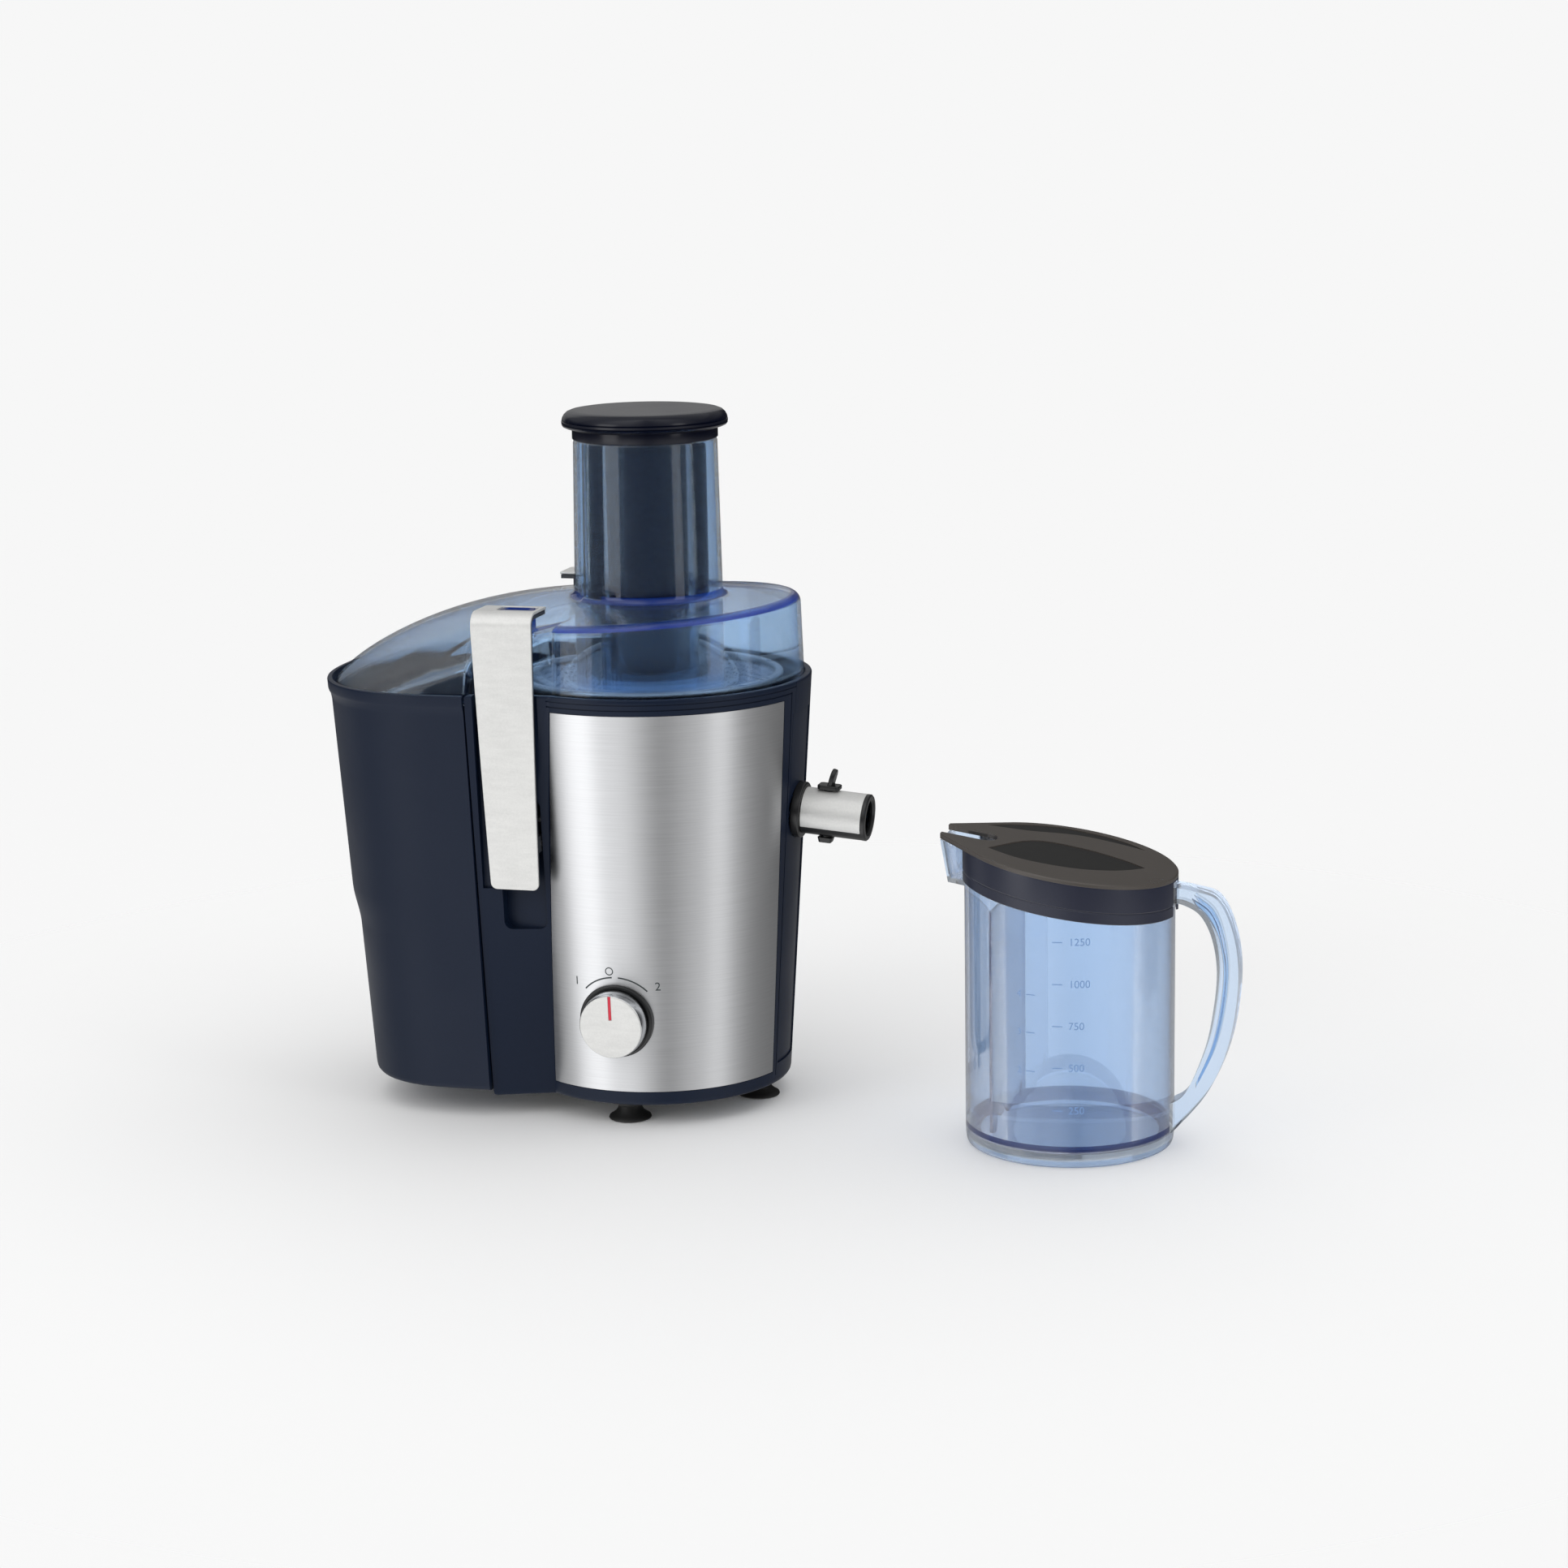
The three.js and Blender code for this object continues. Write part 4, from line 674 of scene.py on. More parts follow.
# ------------------------------------------------------------------ motor base
def bay_cone(inset):
    """The round bay the bowl sits in."""
    foot, head = body_radius(DECK) - BAY_INSET - inset, body_radius(RIM + 1) - BAY_INSET - inset
    return drum(foot, (DECK, RIM + 1), head, steps=128)


def lip_cut():
    """The ledge the lid's foot stands on."""
    return loft([cover_outline(z, LIP_WALL, 7.5, -BEAD) for z in (LEDGE, RIM + 1)])


def clamp_face(z):
    return mix(*CLAMP_FACE, (z - CLAMP_Z[0]) / (CLAMP_Z[1] - CLAMP_Z[0]))


def clamp_bay(margin, depth, side):
    """The channel in the wall that a clamp closes into."""
    rings = []
    for z in (CLAMP_Z[0] - margin, CLAMP_Z[1] + margin):
        inner = clamp_face(z) - depth
        outline = rounded((CLAMP_TOP_X[0] - margin, CLAMP_TOP_X[1] + margin), (inner, inner + 40), 1.2, 3)
        rings.append([(x, y, z) for x, y in outline])
    return loft(rings, FLIPPED[side])


def finger_pocket(margin, side):
    outline = rounded(
        (POCKET_X[0] - margin, POCKET_X[1] + margin), (POCKET_Z[0] - margin, POCKET_Z[1] + margin),
        5 + margin, 6
    )
    rings = [[(x, y, z) for x, z in outline] for y in (POCKET_BACK - margin, SIDE + 10)]
    return loft(rings, FLIPPED[side])


def spout_slot(width):
    above = block((80, 120), (-width, width), (SPOUT_Z, RIM + 5))
    return join(drum(width, (-20, 12), at=SPOUT @ LYING_X), above)


def channel():
    return wall_patch((FOOT_HEIGHT + 13, RIM - 20), (-12, -12), (12, 12), -1, 3, 16)


def outer_base():
    rings = [(13, 1.6), (13.4, 0.8), (14.4, 0.2), (16, 0), (70, 0), (113, 0), (137, 0), (190, 0), (230, 0),
             (268.8, 0), (269.6, 0.3), (270, 0.9)]
    return loft([base_outline(z, inset) for z, inset in rings])


clamp_depth = CLAMP_SKIN + 2.5 + 2 * GAP + SLIDE
hollow = loft([base_outline(z, SHELL) for z in (12, LEDGE - SHELL)])
housing = cut(outer_base(), hollow)
linings = [shared(outer_base(), bay_cone(-BAY_WALL))]
for side in (1, -1):
    linings.append(shared(outer_base(), clamp_bay(2.5, clamp_depth + 2.5, side)))
    linings.append(shared(outer_base(), finger_pocket(2.5, side)))
join(housing, drum(body_radius(DECK) - BAY_INSET + BAY_WALL, (DECK - 3, DECK + 1), steps=128), *linings)


def link_pin(side):
    """Along the pin a clamp's link turns on."""
    return FLIPPED[side] @ Matrix.Translation((0, LINK_PIN_Y, LINK_PIN_Z)) @ LYING_X


openings = [clamp_bay(SLIDE, clamp_depth, side) for side in (1, -1)]
openings += [finger_pocket(0, side) for side in (1, -1)]
panel_seat = wall_patch(
    (PANEL_Z[0] - GAP, PANEL_Z[1] + GAP), [a - 0.3 for a in PANEL_LEFT], [a + 0.3 for a in PANEL_RIGHT],
    -PANEL_SHEET - GAP, 3
)
grooves = [
    wall_patch((263.2, 264), (-112, -112), (-13, -13), -0.7, 3),
    wall_patch((266.6, 267.2), (-112, -112), (60, 60), -0.5, 3, 90),
    wall_patch((18.5, 264), (-13.6, -13.6), (-13.1, -13.1), -0.7, 3, 2),
]
gland_wall = body_radius(GLAND_Z)
pins = [drum(2.1, (POCKET_X[0] - 2.2, POCKET_X[1] + 2.2), at=link_pin(side), steps=24)
        for side in (1, -1)]
cut(
    housing, bay_cone(0), lip_cut(), spout_slot(COLLAR + GAP), *openings, panel_seat, channel(), *grooves,
    *pins, drum(6, (-12, 12), at=KNOB), drum(12, (DECK - 10, DECK + 10)),
    block((SEAM_X - 32, SEAM_X + 20), (-30.3, 30.3), (0, BIN_FLOOR)),
    drum(7, (gland_wall - 20, gland_wall + 20), at=Matrix.Translation((0, 0, GLAND_Z)) @ LYING_Y),
)
piece(ease_edges(housing, 0.5, 2), "motor_housing", navy_abs, "base", "navy_plastic", "base_housing")

apron = shared(outer_base(), block((80, 120), (-COLLAR, COLLAR), (SPOUT_Z, RIM + 1)))
cut(apron, bay_cone(0), lip_cut(), drum(COLLAR + GAP, (-20, 12), at=SPOUT @ LYING_X), channel())
piece(ease_edges(apron, 0.4, 2), "spout_apron_panel", navy_abs, "base", "navy_plastic", "spout_apron")

# steel front, with a map of height and arc length for its brushing
front = wall_patch(PANEL_Z, PANEL_LEFT, PANEL_RIGHT, -PANEL_SHEET, 0, 96, 24)
cut(front, drum(6, (-12, 12), at=KNOB))
ease_edges(front, 0.25, 2, 60)
brush_map = front.data.uv_layers.new(name="brush")
to_axis = ON_AXIS.inverted()
for corner in front.data.loops:
    x, y, z = to_axis @ front.data.vertices[corner.vertex_index].co
    brush_map.data[corner.index].uv = (z, math.atan2(y, x) * RIM_RADIUS)
piece(front, "brushed_front", panel_steel, "base", "brushed_steel", "front_panel")


def on_wall(arc_length, height, proud):
    """A point on the steel front: distance round from the knob's middle, height, and how proud."""
    radius = body_radius(height)
    turn = -math.pi / 2 + arc_length / radius
    return ((radius + proud) * math.cos(turn), (radius + proud) * math.sin(turn), height)


PRINT_DEPTH = (0.02, 0.08)


def print_band(outline_points, name, wrap, body="base", slot="dark_grey_plastic", material=None):
    """Pad print 0.06 mm thick, from a list of inner and outer edge points."""
    low, high = PRINT_DEPTH
    points, faces = [], []
    for a, b in outline_points:
        points += [wrap(*a, low), wrap(*b, low), wrap(*b, high), wrap(*a, high)]
    for i in range(len(outline_points) - 1):
        for j in range(4):
            k = (j + 1) % 4
            faces.append((4 * i + j, 4 * i + k, 4 * i + 4 + k, 4 * i + 4 + j))
    last = 4 * (len(outline_points) - 1)
    faces += [(0, 1, 2, 3), (last, last + 1, last + 2, last + 3)]
    return piece(shape(points, faces), name, material or grey_print, body, slot)


def dial_mark(radius, width, start, end, centre=(0, 0), steps=24):
    """An arc round the knob, between two directions in degrees, for print_band."""
    edge = []
    for i in range(steps + 1):
        turn = math.radians(mix(start, end, i / steps))
        edge.append(tuple(
            (centre[0] + r * math.sin(turn), KNOB_Z + centre[1] + r * math.cos(turn))
            for r in (radius, radius + width)
        ))
    return edge


print_band(dial_mark(27.2, 0.9, -46, -4), "dial_arc_left", on_wall)
print_band(dial_mark(27.2, 0.9, 4, 46), "dial_arc_right", on_wall)
print_band(dial_mark(2.0, 0.6, 0, 359.9, (-3.5, 31.5)), "dial_zero_ring", on_wall)


def figures(text, name, size, place_at, wrap, body, slot, material):
    """Numerals wrapped on a curved wall: their corners are carried to the wall one by one."""
    letters = bpy.data.curves.new(name, "FONT")
    letters.body, letters.size, letters.extrude = text, size, 0.5
    letters.align_x, letters.align_y = "CENTER", "CENTER"
    writing = bpy.data.objects.new(name, letters)
    bpy.context.scene.collection.objects.link(writing)
    bpy.context.view_layer.update()
    flat = bpy.data.meshes.new_from_object(writing.evaluated_get(bpy.context.evaluated_depsgraph_get()))
    bpy.data.objects.remove(writing)
    points = []
    for vertex in flat.vertices:
        x, y, z = vertex.co
        points.append(wrap(place_at[0] + x, place_at[1] + y, PRINT_DEPTH[1] if z > 0 else PRINT_DEPTH[0]))
    return piece(shape(points, [tuple(face.vertices) for face in flat.polygons]), name, material, body,
                 slot)


figures("1", "dial_one", 7.5, (-26, KNOB_Z + 23.5), on_wall, "base", "dark_grey_plastic", grey_print)
figures("2", "dial_two", 7.5, (26.5, KNOB_Z + 22), on_wall, "base", "dark_grey_plastic", grey_print)

# suction feet
for where, place_at in (
    ("spout_side", (FOOT_CIRCLE, 0)), ("rear", (0, FOOT_CIRCLE)),
    ("container_side", (-FOOT_CIRCLE, 0)), ("front", (0, -FOOT_CIRCLE)),
):
    profile = [(0, 1.6), (8, 1.2), (12.4, 0.15), (13, 0), (13.3, 0.5), (12.9, 1.5), (11, 2.6), (9, 4.2),
               (7.6, 6.4), (7.3, 8.2), (8.0, 9.0), (8.2, 10.6), (8.2, 13.2), (4, 13.2), (4, 19.5),
               (0, 19.5)]
    foot = turned(profile, Matrix.Translation((*place_at, 0)), 64)
    piece(foot, "suction_cup_" + where, rubber, "base", "black_rubber", "suction_foot_" + where, sharp=50)

# cord gland: a flange and three ribs on a short sleeve, with the bore left open
ribs = [(3.4, gland_wall - 6), (6.6, gland_wall - 6), (6.6, gland_wall + 0.6), (10, gland_wall + 0.6),
        (10, gland_wall + 2.4), (9.4, gland_wall + 3), (6.6, gland_wall + 3)]
for i in range(3):
    z = gland_wall + 3.4 + 1.9 * i
    ribs += [(5.2, z), (5.2, z + 0.7), (6.6 - 0.3 * i, z + 0.9), (6.6 - 0.3 * i, z + 1.6)]
ribs += [(5.4, gland_wall + 9), (3.4, gland_wall + 9)]
gland = turned(ribs, Matrix.Translation((0, 0, GLAND_Z)) @ LYING_Y, 64)
cut(gland, drum(body_radius(0) + GAP, (0, RIM), body_radius(RIM) + GAP, steps=160))
piece(gland, "cord_gland_ribbed", rubber, "base", "black_rubber", "cord_gland")

# ------------------------------------------------------------------ knob
bezel = turned(
    [(6.5, -5), (BEZEL_RADIUS, -5), (BEZEL_RADIUS, 1.2)] + arc((BEZEL_RADIUS - 1, 1.2), 1, 0, 90, 4)
    + [(21.6, 2.2), (21.3, 1.4), (6.5, 1.4)], KNOB
)
cut(bezel, drum(body_radius(0) + GAP, (0, RIM), body_radius(RIM) + GAP, steps=160))
piece(bezel, "dial_bezel", black_abs, "base", "black_plastic", "knob_bezel", sharp=50)

side_profile = [(0, 2.7), (20.4, 2.7), (20.8, 3.2), (20.6, 8.0), (20.1, 12.1), (19.7, 12.5), (0, 12.5)]
knob_side = turned(side_profile, KNOB, 128)
spindle = drum(3, (-26, 3), at=KNOB)
join(knob_side, spindle)
notch = block((-1, 1), (4.5, 22), (12.5, 14.2), KNOB)
face_profile = [(0, 12.5), (19.75, 12.5)] + arc((19.05, 12.6), 0.7, 0, 90, 5) + [(17.5, 13.2), (0, 13.1)]
knob_face = cut(turned(face_profile, KNOB, 128), notch)
piece(knob_side, "knob_side_ring", chrome, "knob", "silver_paint", "speed_knob", sharp=40)
piece(knob_face, "knob_face_disc", silver_paint, "knob", "silver_paint", sharp=40)
line = [(-0.85, 19.6), (0.85, 19.6), (0.85, 4.8), (-0.85, 4.8)]
pointer = slab(line, (12.55, 13.3), KNOB)
piece(ease_edges(pointer, 0.12, 2), "knob_pointer_inlay", red_inlay, "knob", "red_paint", "knob_pointer")

# ------------------------------------------------------------------ bowl, spout and drip lever
def bowl_out(z):
    return body_radius(z) - BAY_INSET - GAP - SLIDE


floor_top = DECK + 5
flange = (LEDGE + GAP, LEDGE + GAP + 2.2)
flange_edge = RIM_RADIUS - 0.47 - LIP_WALL - SLIDE
bowl = turned(
    [(12, DECK + 2.5), (bowl_out(DECK + 2.5) - 3, DECK + 2.5), (bowl_out(DECK + 5), DECK + 5.5),
     (bowl_out(flange[0]), flange[0]), (flange_edge, flange[0]),
     (flange_edge, flange[1]), (bowl_out(flange[1]) - 2.2, flange[1]),
     (bowl_out(DECK + 9) - 2.2, DECK + 9), (bowl_out(DECK + 5) - 6, floor_top),
     (19.5, floor_top), (15.5, BASKET_FLOOR - 9.5), (12, BASKET_FLOOR - 9.5)], steps=128
)
tube = drum(SPOUT_TUBE, (-9, SPOUT_REACH - 3), at=SPOUT @ LYING_X)
bore = drum(SPOUT_TUBE - 2, (-16, SPOUT_REACH + 5), at=SPOUT @ LYING_X)


def stem_hole():
    return drum(STEM_RADIUS + SLIDE, (-30, 30), at=STEM, steps=32)


cut(join(bowl, tube), bore, stem_hole())
piece(bowl, "juice_collector", bowl_clear, "base", "clear_blue", "juice_bowl")

collar = turned([(12.7, -2), (16.9, -2), (17.5, -1.4), (17.5, 2.4)] + arc((16.4, 2.4), 1.1, 0, 90, 4)
                + [(14.6, 3.5), (12.7, 3.5)], SPOUT @ LYING_X)
piece(collar, "spout_collar_ring", black_abs, "base", "black_plastic", "spout_collar", sharp=50)
span = (3.8, SPOUT_REACH)
shroud = turned([(12.7, span[0]), (13.4, span[0]), (13.4, span[1] - 3), (SHROUD, span[1] - 2.7),
                 (SHROUD, span[1] - 0.8), (SHROUD - 0.8, span[1]), (11.6, span[1]), (10.4, span[1] - 1.2),
                 (10.4, span[1] - 2.7), (12.7, span[1] - 2.7)],
                SPOUT @ LYING_X)
belly = shared(
    turned([(13.3, span[0]), (14.5, span[0]), (14.5, span[1] - 2.8), (13.3, span[1] - 2.8)],
           SPOUT @ LYING_X),
    block((0, SPOUT_REACH), (-20, 20), (-20, -8.2), SPOUT),
)
cut(join(shroud, belly), stem_hole())
piece(shroud, "spout_end_shroud", black_abs, "base", "black_plastic", "spout_shroud", sharp=40)
sleeve = turned([(13.7, span[0]), (SHROUD, span[0]), (SHROUD, span[1] - 3), (13.7, span[1] - 3)],
                SPOUT @ LYING_X, 128)
cut(sleeve, block((-5, 60), (-20, 20), (-30, -8), SPOUT), stem_hole())
piece(ease_edges(sleeve, 0.25, 2, 60), "spout_silver_sleeve", silver_paint, "base", "silver_paint",
      "spout_sleeve")

stem = drum(STEM_RADIUS, (-16.9, 17.6), at=STEM, steps=48)
disc = drum(9.9, (-1, 1), at=STEM @ LYING_X, steps=64)
saddle = ease_edges(slab(rounded((-7, 7), (-5.4, 5.4), 2.5), (15.1, 18.0), STEM), 0.7)
tail_end = rounded((-4.8, 4.8), (-4.6, 4.6), 1.6)
tail_rings = [[(x * s, y * s, z) for x, y in tail_end] for z, s in ((-18.6, 0.82), (-15.1, 1))]
tail = ease_edges(loft(tail_rings, STEM), 0.4)
lean = STEM @ Matrix.Translation((0.6, 0, 17))
lean = lean @ Matrix.Rotation(math.radians(12), 4, "Y") @ Matrix.Rotation(math.pi / 2, 4, "Z")
tab_outline = [(-4.2, -1.5), (4.2, -1.5), (4.6, 5)] + arc((0, 7), 4.4, 0, 180, 10) + [(-4.6, 5)]
tab = ease_edges(slab(tab_outline, (-1.5, 1.5), lean @ Matrix.Rotation(math.pi / 2, 4, "X")), 0.7)
join(stem, disc, saddle, tail, tab)
piece(stem, "drip_stop_lever", black_abs, "drip_lever", "black_plastic", "drip_valve", sharp=45)

# ------------------------------------------------------------------ filter basket
cone = ((51, BASKET_FLOOR + 4.3), (BASKET_RIM - 2.2, BASKET_TOP - 3.3))
sieve = turned([(cone[0][0] - 1.4, cone[0][1]), cone[0], cone[1], (cone[1][0] - 1.4, cone[1][1])],
               steps=128)
piece(sieve, "sieve_cone", sieve_steel, "rotor", "bare_steel", "sieve_screen", sharp=60)
hoop_rim = turned(
    [(cone[1][0] - 3, BASKET_TOP - 3), (BASKET_RIM - 0.4, BASKET_TOP - 3), (BASKET_RIM, BASKET_TOP - 2.6)]
    + arc((BASKET_RIM - 1.3, BASKET_TOP - 1.3), 1.3, 0, 90, 5)
    + [(cone[1][0] - 2, BASKET_TOP), (cone[1][0] - 3, BASKET_TOP - 0.8)], steps=128,
)
piece(hoop_rim, "basket_hoop", bare_steel, "rotor", "dark_grey_plastic", "basket_rim", sharp=60)
hub_floor = turned(
    [(0, BASKET_FLOOR + 2), (6, BASKET_FLOOR + 2), (6, BASKET_FLOOR), (50, BASKET_FLOOR),
     (52, BASKET_FLOOR + 1.4), (52, BASKET_FLOOR + 4), (49.4, BASKET_FLOOR + 4), (0, BASKET_FLOOR + 4)],
     steps=96
)
piece(hub_floor, "basket_hub_plate", grey_abs, "rotor", "dark_grey_plastic", "basket_floor")

# ------------------------------------------------------------------ lid with its feed chute
def lid_line(x, y, wall):
    """The lid's skin from its foot in to the chute along one direction, as (radius, height)."""
    reach = math.hypot(x, y)
    direction = math.atan2(y, x)
    edge = reach - wall
    ridge = RIDGE + 0.06 * x - wall
    crown = CROWN - wall
    foot = LEDGE + 2.2 + 2 * GAP
    corner = 6 - 0.5 * wall
    fillet = 4.5 if wall == 0 else 2
    line = [(0.3, foot), (0.7, mix(foot, ridge - corner, 0.25)), (1.3, mix(foot, ridge - corner, 0.62)),
            (1.9, ridge - corner)]
    for i in range(1, 8):
        turn = i / 7 * math.pi / 2
        line.append((1.9 + corner * (1 - math.cos(turn)), ridge - corner + corner * math.sin(turn)))
    inner = CHUTE_ROOT + fillet
    start = 1.9 + corner
    for i in range(1, 15):
        share = i / 14
        line.append((mix(start, edge - inner, share),
                     ridge + (crown - ridge) * math.sin(share * math.pi / 2)))
    sunk = smooth_step(abs(direction), math.radians(112), math.radians(150))
    result = []
    for i, (inward, z) in enumerate(line):
        turn = (i / (len(line) - 1)) * math.pi / 2
        dome_z = foot + (crown - foot) * math.sin(turn) ** (2 / 1.3)
        radius = mix(edge - inward, mix(inner, edge, math.cos(turn)), sunk)
        result.append((radius, mix(z, dome_z, sunk)))
    for i in range(1, 6):
        turn = i / 5 * math.pi / 2
        rise = fillet * (1 - math.cos(turn)) * (1 if wall == 0 else -1)
        result.append((CHUTE_ROOT + fillet * (1 - math.sin(turn)), crown + rise))
    return result


sections = []
for x, y, _ in cover_outline(RIM, 4.4, 8, 2.4, 96):
    direction = math.atan2(y, x)
    bore_root, bore_head = CHUTE_ROOT - CHUTE_WALL, CHUTE_HEAD - CHUTE_WALL
    column = lid_line(x, y, 0)
    column += [(mix(CHUTE_ROOT, CHUTE_HEAD, s), mix(CROWN + 4.5, CHUTE_TOP, s))
               for s in (0.15, 0.5, 0.85, 0.985)]
    column += [(CHUTE_HEAD - 0.5, CHUTE_TOP), (bore_head + 0.5, CHUTE_TOP), (bore_head, CHUTE_TOP - 0.8)]
    column += [(mix(bore_head, bore_root, s), mix(CHUTE_TOP, CROWN, s)) for s in (0.4, 0.8, 1)]
    column += [(bore_root, CHUTE_FOOT + 0.8), (bore_root + 0.5, CHUTE_FOOT),
               (CHUTE_ROOT - 0.5, CHUTE_FOOT), (CHUTE_ROOT, CHUTE_FOOT + 0.8)]
    column += list(reversed(lid_line(x, y, LID_WALL)))
    sections.append([(r * math.cos(direction), r * math.sin(direction), z) for r, z in column])
lid = hoop(sections)
key = block((36.5, 44.5), (-2, 2), (CHUTE_FOOT, KEY_TOP), Matrix.Rotation(KEY_ANGLE, 4, "Z"))
lug_x = (CLAMP_TOP_X[0] + 14, CLAMP_TOP_X[1] - 4.5)
lug_y = (CLAMP_REACH + 4.5, CLAMP_REACH + 15.5)
lugs = []
for side in (1, -1):
    lug = slab(rounded(lug_x, lug_y, 2.5), (304, CLAMP_Z[1] - 0.2), FLIPPED[side])
    recess = rounded((lug_x[0] + 2.2, lug_x[1] - 2.2), (lug_y[0] + 2.2, lug_y[1] - 2.2), 1.2)
    lugs.append(cut(lug, slab(recess, (317, 330), FLIPPED[side])))
join(lid, key, *lugs)
piece(lid, "clear_lid", lid_clear, "base", "clear_blue", "lid", sharp=50)
# Painted shade: deep blue is laid on the lid's ridge, round the chute's root and on the clamps' lugs,
# standing in for light piped along the wall.
lid.data.materials.append(lid_painted_edge_shade)
reaches = sorted((math.atan2(y, x), math.hypot(x, y)) for x, y, _ in cover_outline(RIM, 4.4, 8, 2.4, 96))
for face in lid.data.polygons:
    x, y, z = to_axis @ face.center
    direction = math.atan2(y, x)
    reach = min(reaches, key=lambda pair: abs(pair[0] - direction))[1]
    inward, under = reach - math.hypot(x, y), RIDGE + 0.06 * x - z
    on_ridge = abs(direction) < math.radians(124) and 2.3 < inward < 7.5 and -0.6 < under < 4.2
    at_root = CHUTE_ROOT + 0.1 < math.hypot(x, y) < CHUTE_ROOT + 3 and -0.3 < z - CROWN < 5
    on_lug = abs(y) > CLAMP_REACH + 3 and lug_x[0] - 1 < x < lug_x[1] + 1 and z > CLAMP_Z[1] - 9
    if on_ridge or at_root or on_lug:
        face.material_index = 1

# ------------------------------------------------------------------ pusher
pusher = turned(
    [(0, RIM + 0.4), (30, RIM), (PUSHER - 2, RIM)] + arc((PUSHER - 2, RIM + 2), 2, -80, 0, 5)
    + [(PUSHER, CHUTE_TOP + 2), (PUSHER - 3.2, CHUTE_TOP + 2), (PUSHER - 3.2, RIM + 3), (0, RIM + 3)],
    steps=128
)
groove_outline = [(-4.2, RIM - 1), (4.2, RIM - 1), (4.2, KEY_TOP + 1)]
groove_outline += arc((0, KEY_TOP + 1), 4.2, 10, 170, 8) + [(-4.2, KEY_TOP + 1)]
groove_rings = [[(x, y, z) for y, z in groove_outline] for x in (PUSHER - 1.8, PUSHER + 3)]
cut(pusher, loft(groove_rings, Matrix.Rotation(KEY_ANGLE, 4, "Z")))
piece(ease_edges(pusher, 0.4, 2, 50), "pusher_tube", navy_gloss, "pusher", "navy_plastic", "pusher_body")
seat = CHUTE_TOP + GAP
collar_top = seat + 7
cap = turned(
    [(31, CHUTE_TOP - 7), (34, CHUTE_TOP - 7), (34, CHUTE_TOP + 2.3), (37.8, CHUTE_TOP + 2.3),
     (37.8, seat), (44.2, seat), (45, seat + 0.8), (45, collar_top - 0.6), (45.8, collar_top),
     (CAP_RADIUS - 2.4, collar_top + 0.6), (CAP_RADIUS - 0.9, collar_top + 1.3),
     (CAP_RADIUS - 0.2, collar_top + 2.3), (CAP_RADIUS - 0.7, collar_top + 2.7),
     (CAP_RADIUS - 0.1, collar_top + 3.1), (CAP_RADIUS, collar_top + 4.4),
     (CAP_RADIUS - 0.7, collar_top + 4.8), (CAP_RADIUS - 0.3, collar_top + 5.3),
     (CAP_RADIUS - 0.6, collar_top + 6.6), (CAP_RADIUS - 1.6, collar_top + 8.4),
     (CAP_RADIUS - 3.2, collar_top + 9.9), (CAP_RADIUS - 5.4, CAP_TOP - 0.4), (CAP_RADIUS - 8, CAP_TOP),
     (20, CAP_TOP - 0.3), (0, CAP_TOP - 0.4), (0, CAP_TOP - 4), (31, CAP_TOP - 4)],
    steps=128,
)
piece(cap, "pusher_cap_disc", navy_gloss, "pusher", "navy_plastic", "pusher_cap", sharp=50)


# ------------------------------------------------------------------ toggle clamps
def clamp_layer(outer, inner, side, trim=0.0, corner=8.5):
    """One layer of a clamp: the hook plate, the bend and the long face, at two depths."""
    def line(depth):
        radius = corner - depth
        centre = (clamp_face(CLAMP_Z[1] - corner) - corner, CLAMP_Z[1] - corner)
        turns = [i / 10 * math.pi / 2 for i in range(11)]
        bend = [(centre[0] + radius * math.sin(t), centre[1] + radius * math.cos(t)) for t in turns]
        bow = [(clamp_face(z) - depth + 0.9 * math.sin(math.pi * (CLAMP_Z[1] - corner - z) / 165), z)
               for z in range(300, 150, -12)]
        tip = (CLAMP_REACH + trim, CLAMP_Z[1] - depth)
        foot = (clamp_face(CLAMP_Z[0]) - depth, CLAMP_Z[0] + trim)
        return [tip] + bend + bow + [foot]

    section = line(outer) + list(reversed(line(inner)))
    x0, x1 = CLAMP_TOP_X[0] - 1, CLAMP_TOP_X[1] + 1
    strip = loft([[(x, y, z) for y, z in section] for x in (x0, x1)], FLIPPED[side])
    lower, upper = CLAMP_FOOT_X, CLAMP_TOP_X
    outline = arc((lower[1] - 4 - trim, CLAMP_Z[0] + 4 + trim), 4, -90, 0, 6)
    outline += [(upper[1] - trim, CLAMP_Z[1] - 12), (upper[1] - trim, CLAMP_Z[1] + 3),
                (upper[0] + trim, CLAMP_Z[1] + 3), (upper[0] + trim, CLAMP_Z[1] - 12)]
    outline += arc((lower[0] + 4 + trim, CLAMP_Z[0] + 4 + trim), 4, 180, 270, 6)
    taper = loft([[(x, y, z) for x, z in outline] for y in (CLAMP_REACH - 10, SIDE + 10)], FLIPPED[side])
    return shared(strip, taper)


def lug_window(side):
    """The window in a clamp's hook that drops over the lid's lug."""
    outline = rounded((CLAMP_TOP_X[0] + 12, CLAMP_TOP_X[1] - 2.5), (CLAMP_REACH + 3, CLAMP_REACH + 17), 3)
    return slab(outline, (CLAMP_Z[1] - 10, CLAMP_Z[1] + 5), FLIPPED[side])


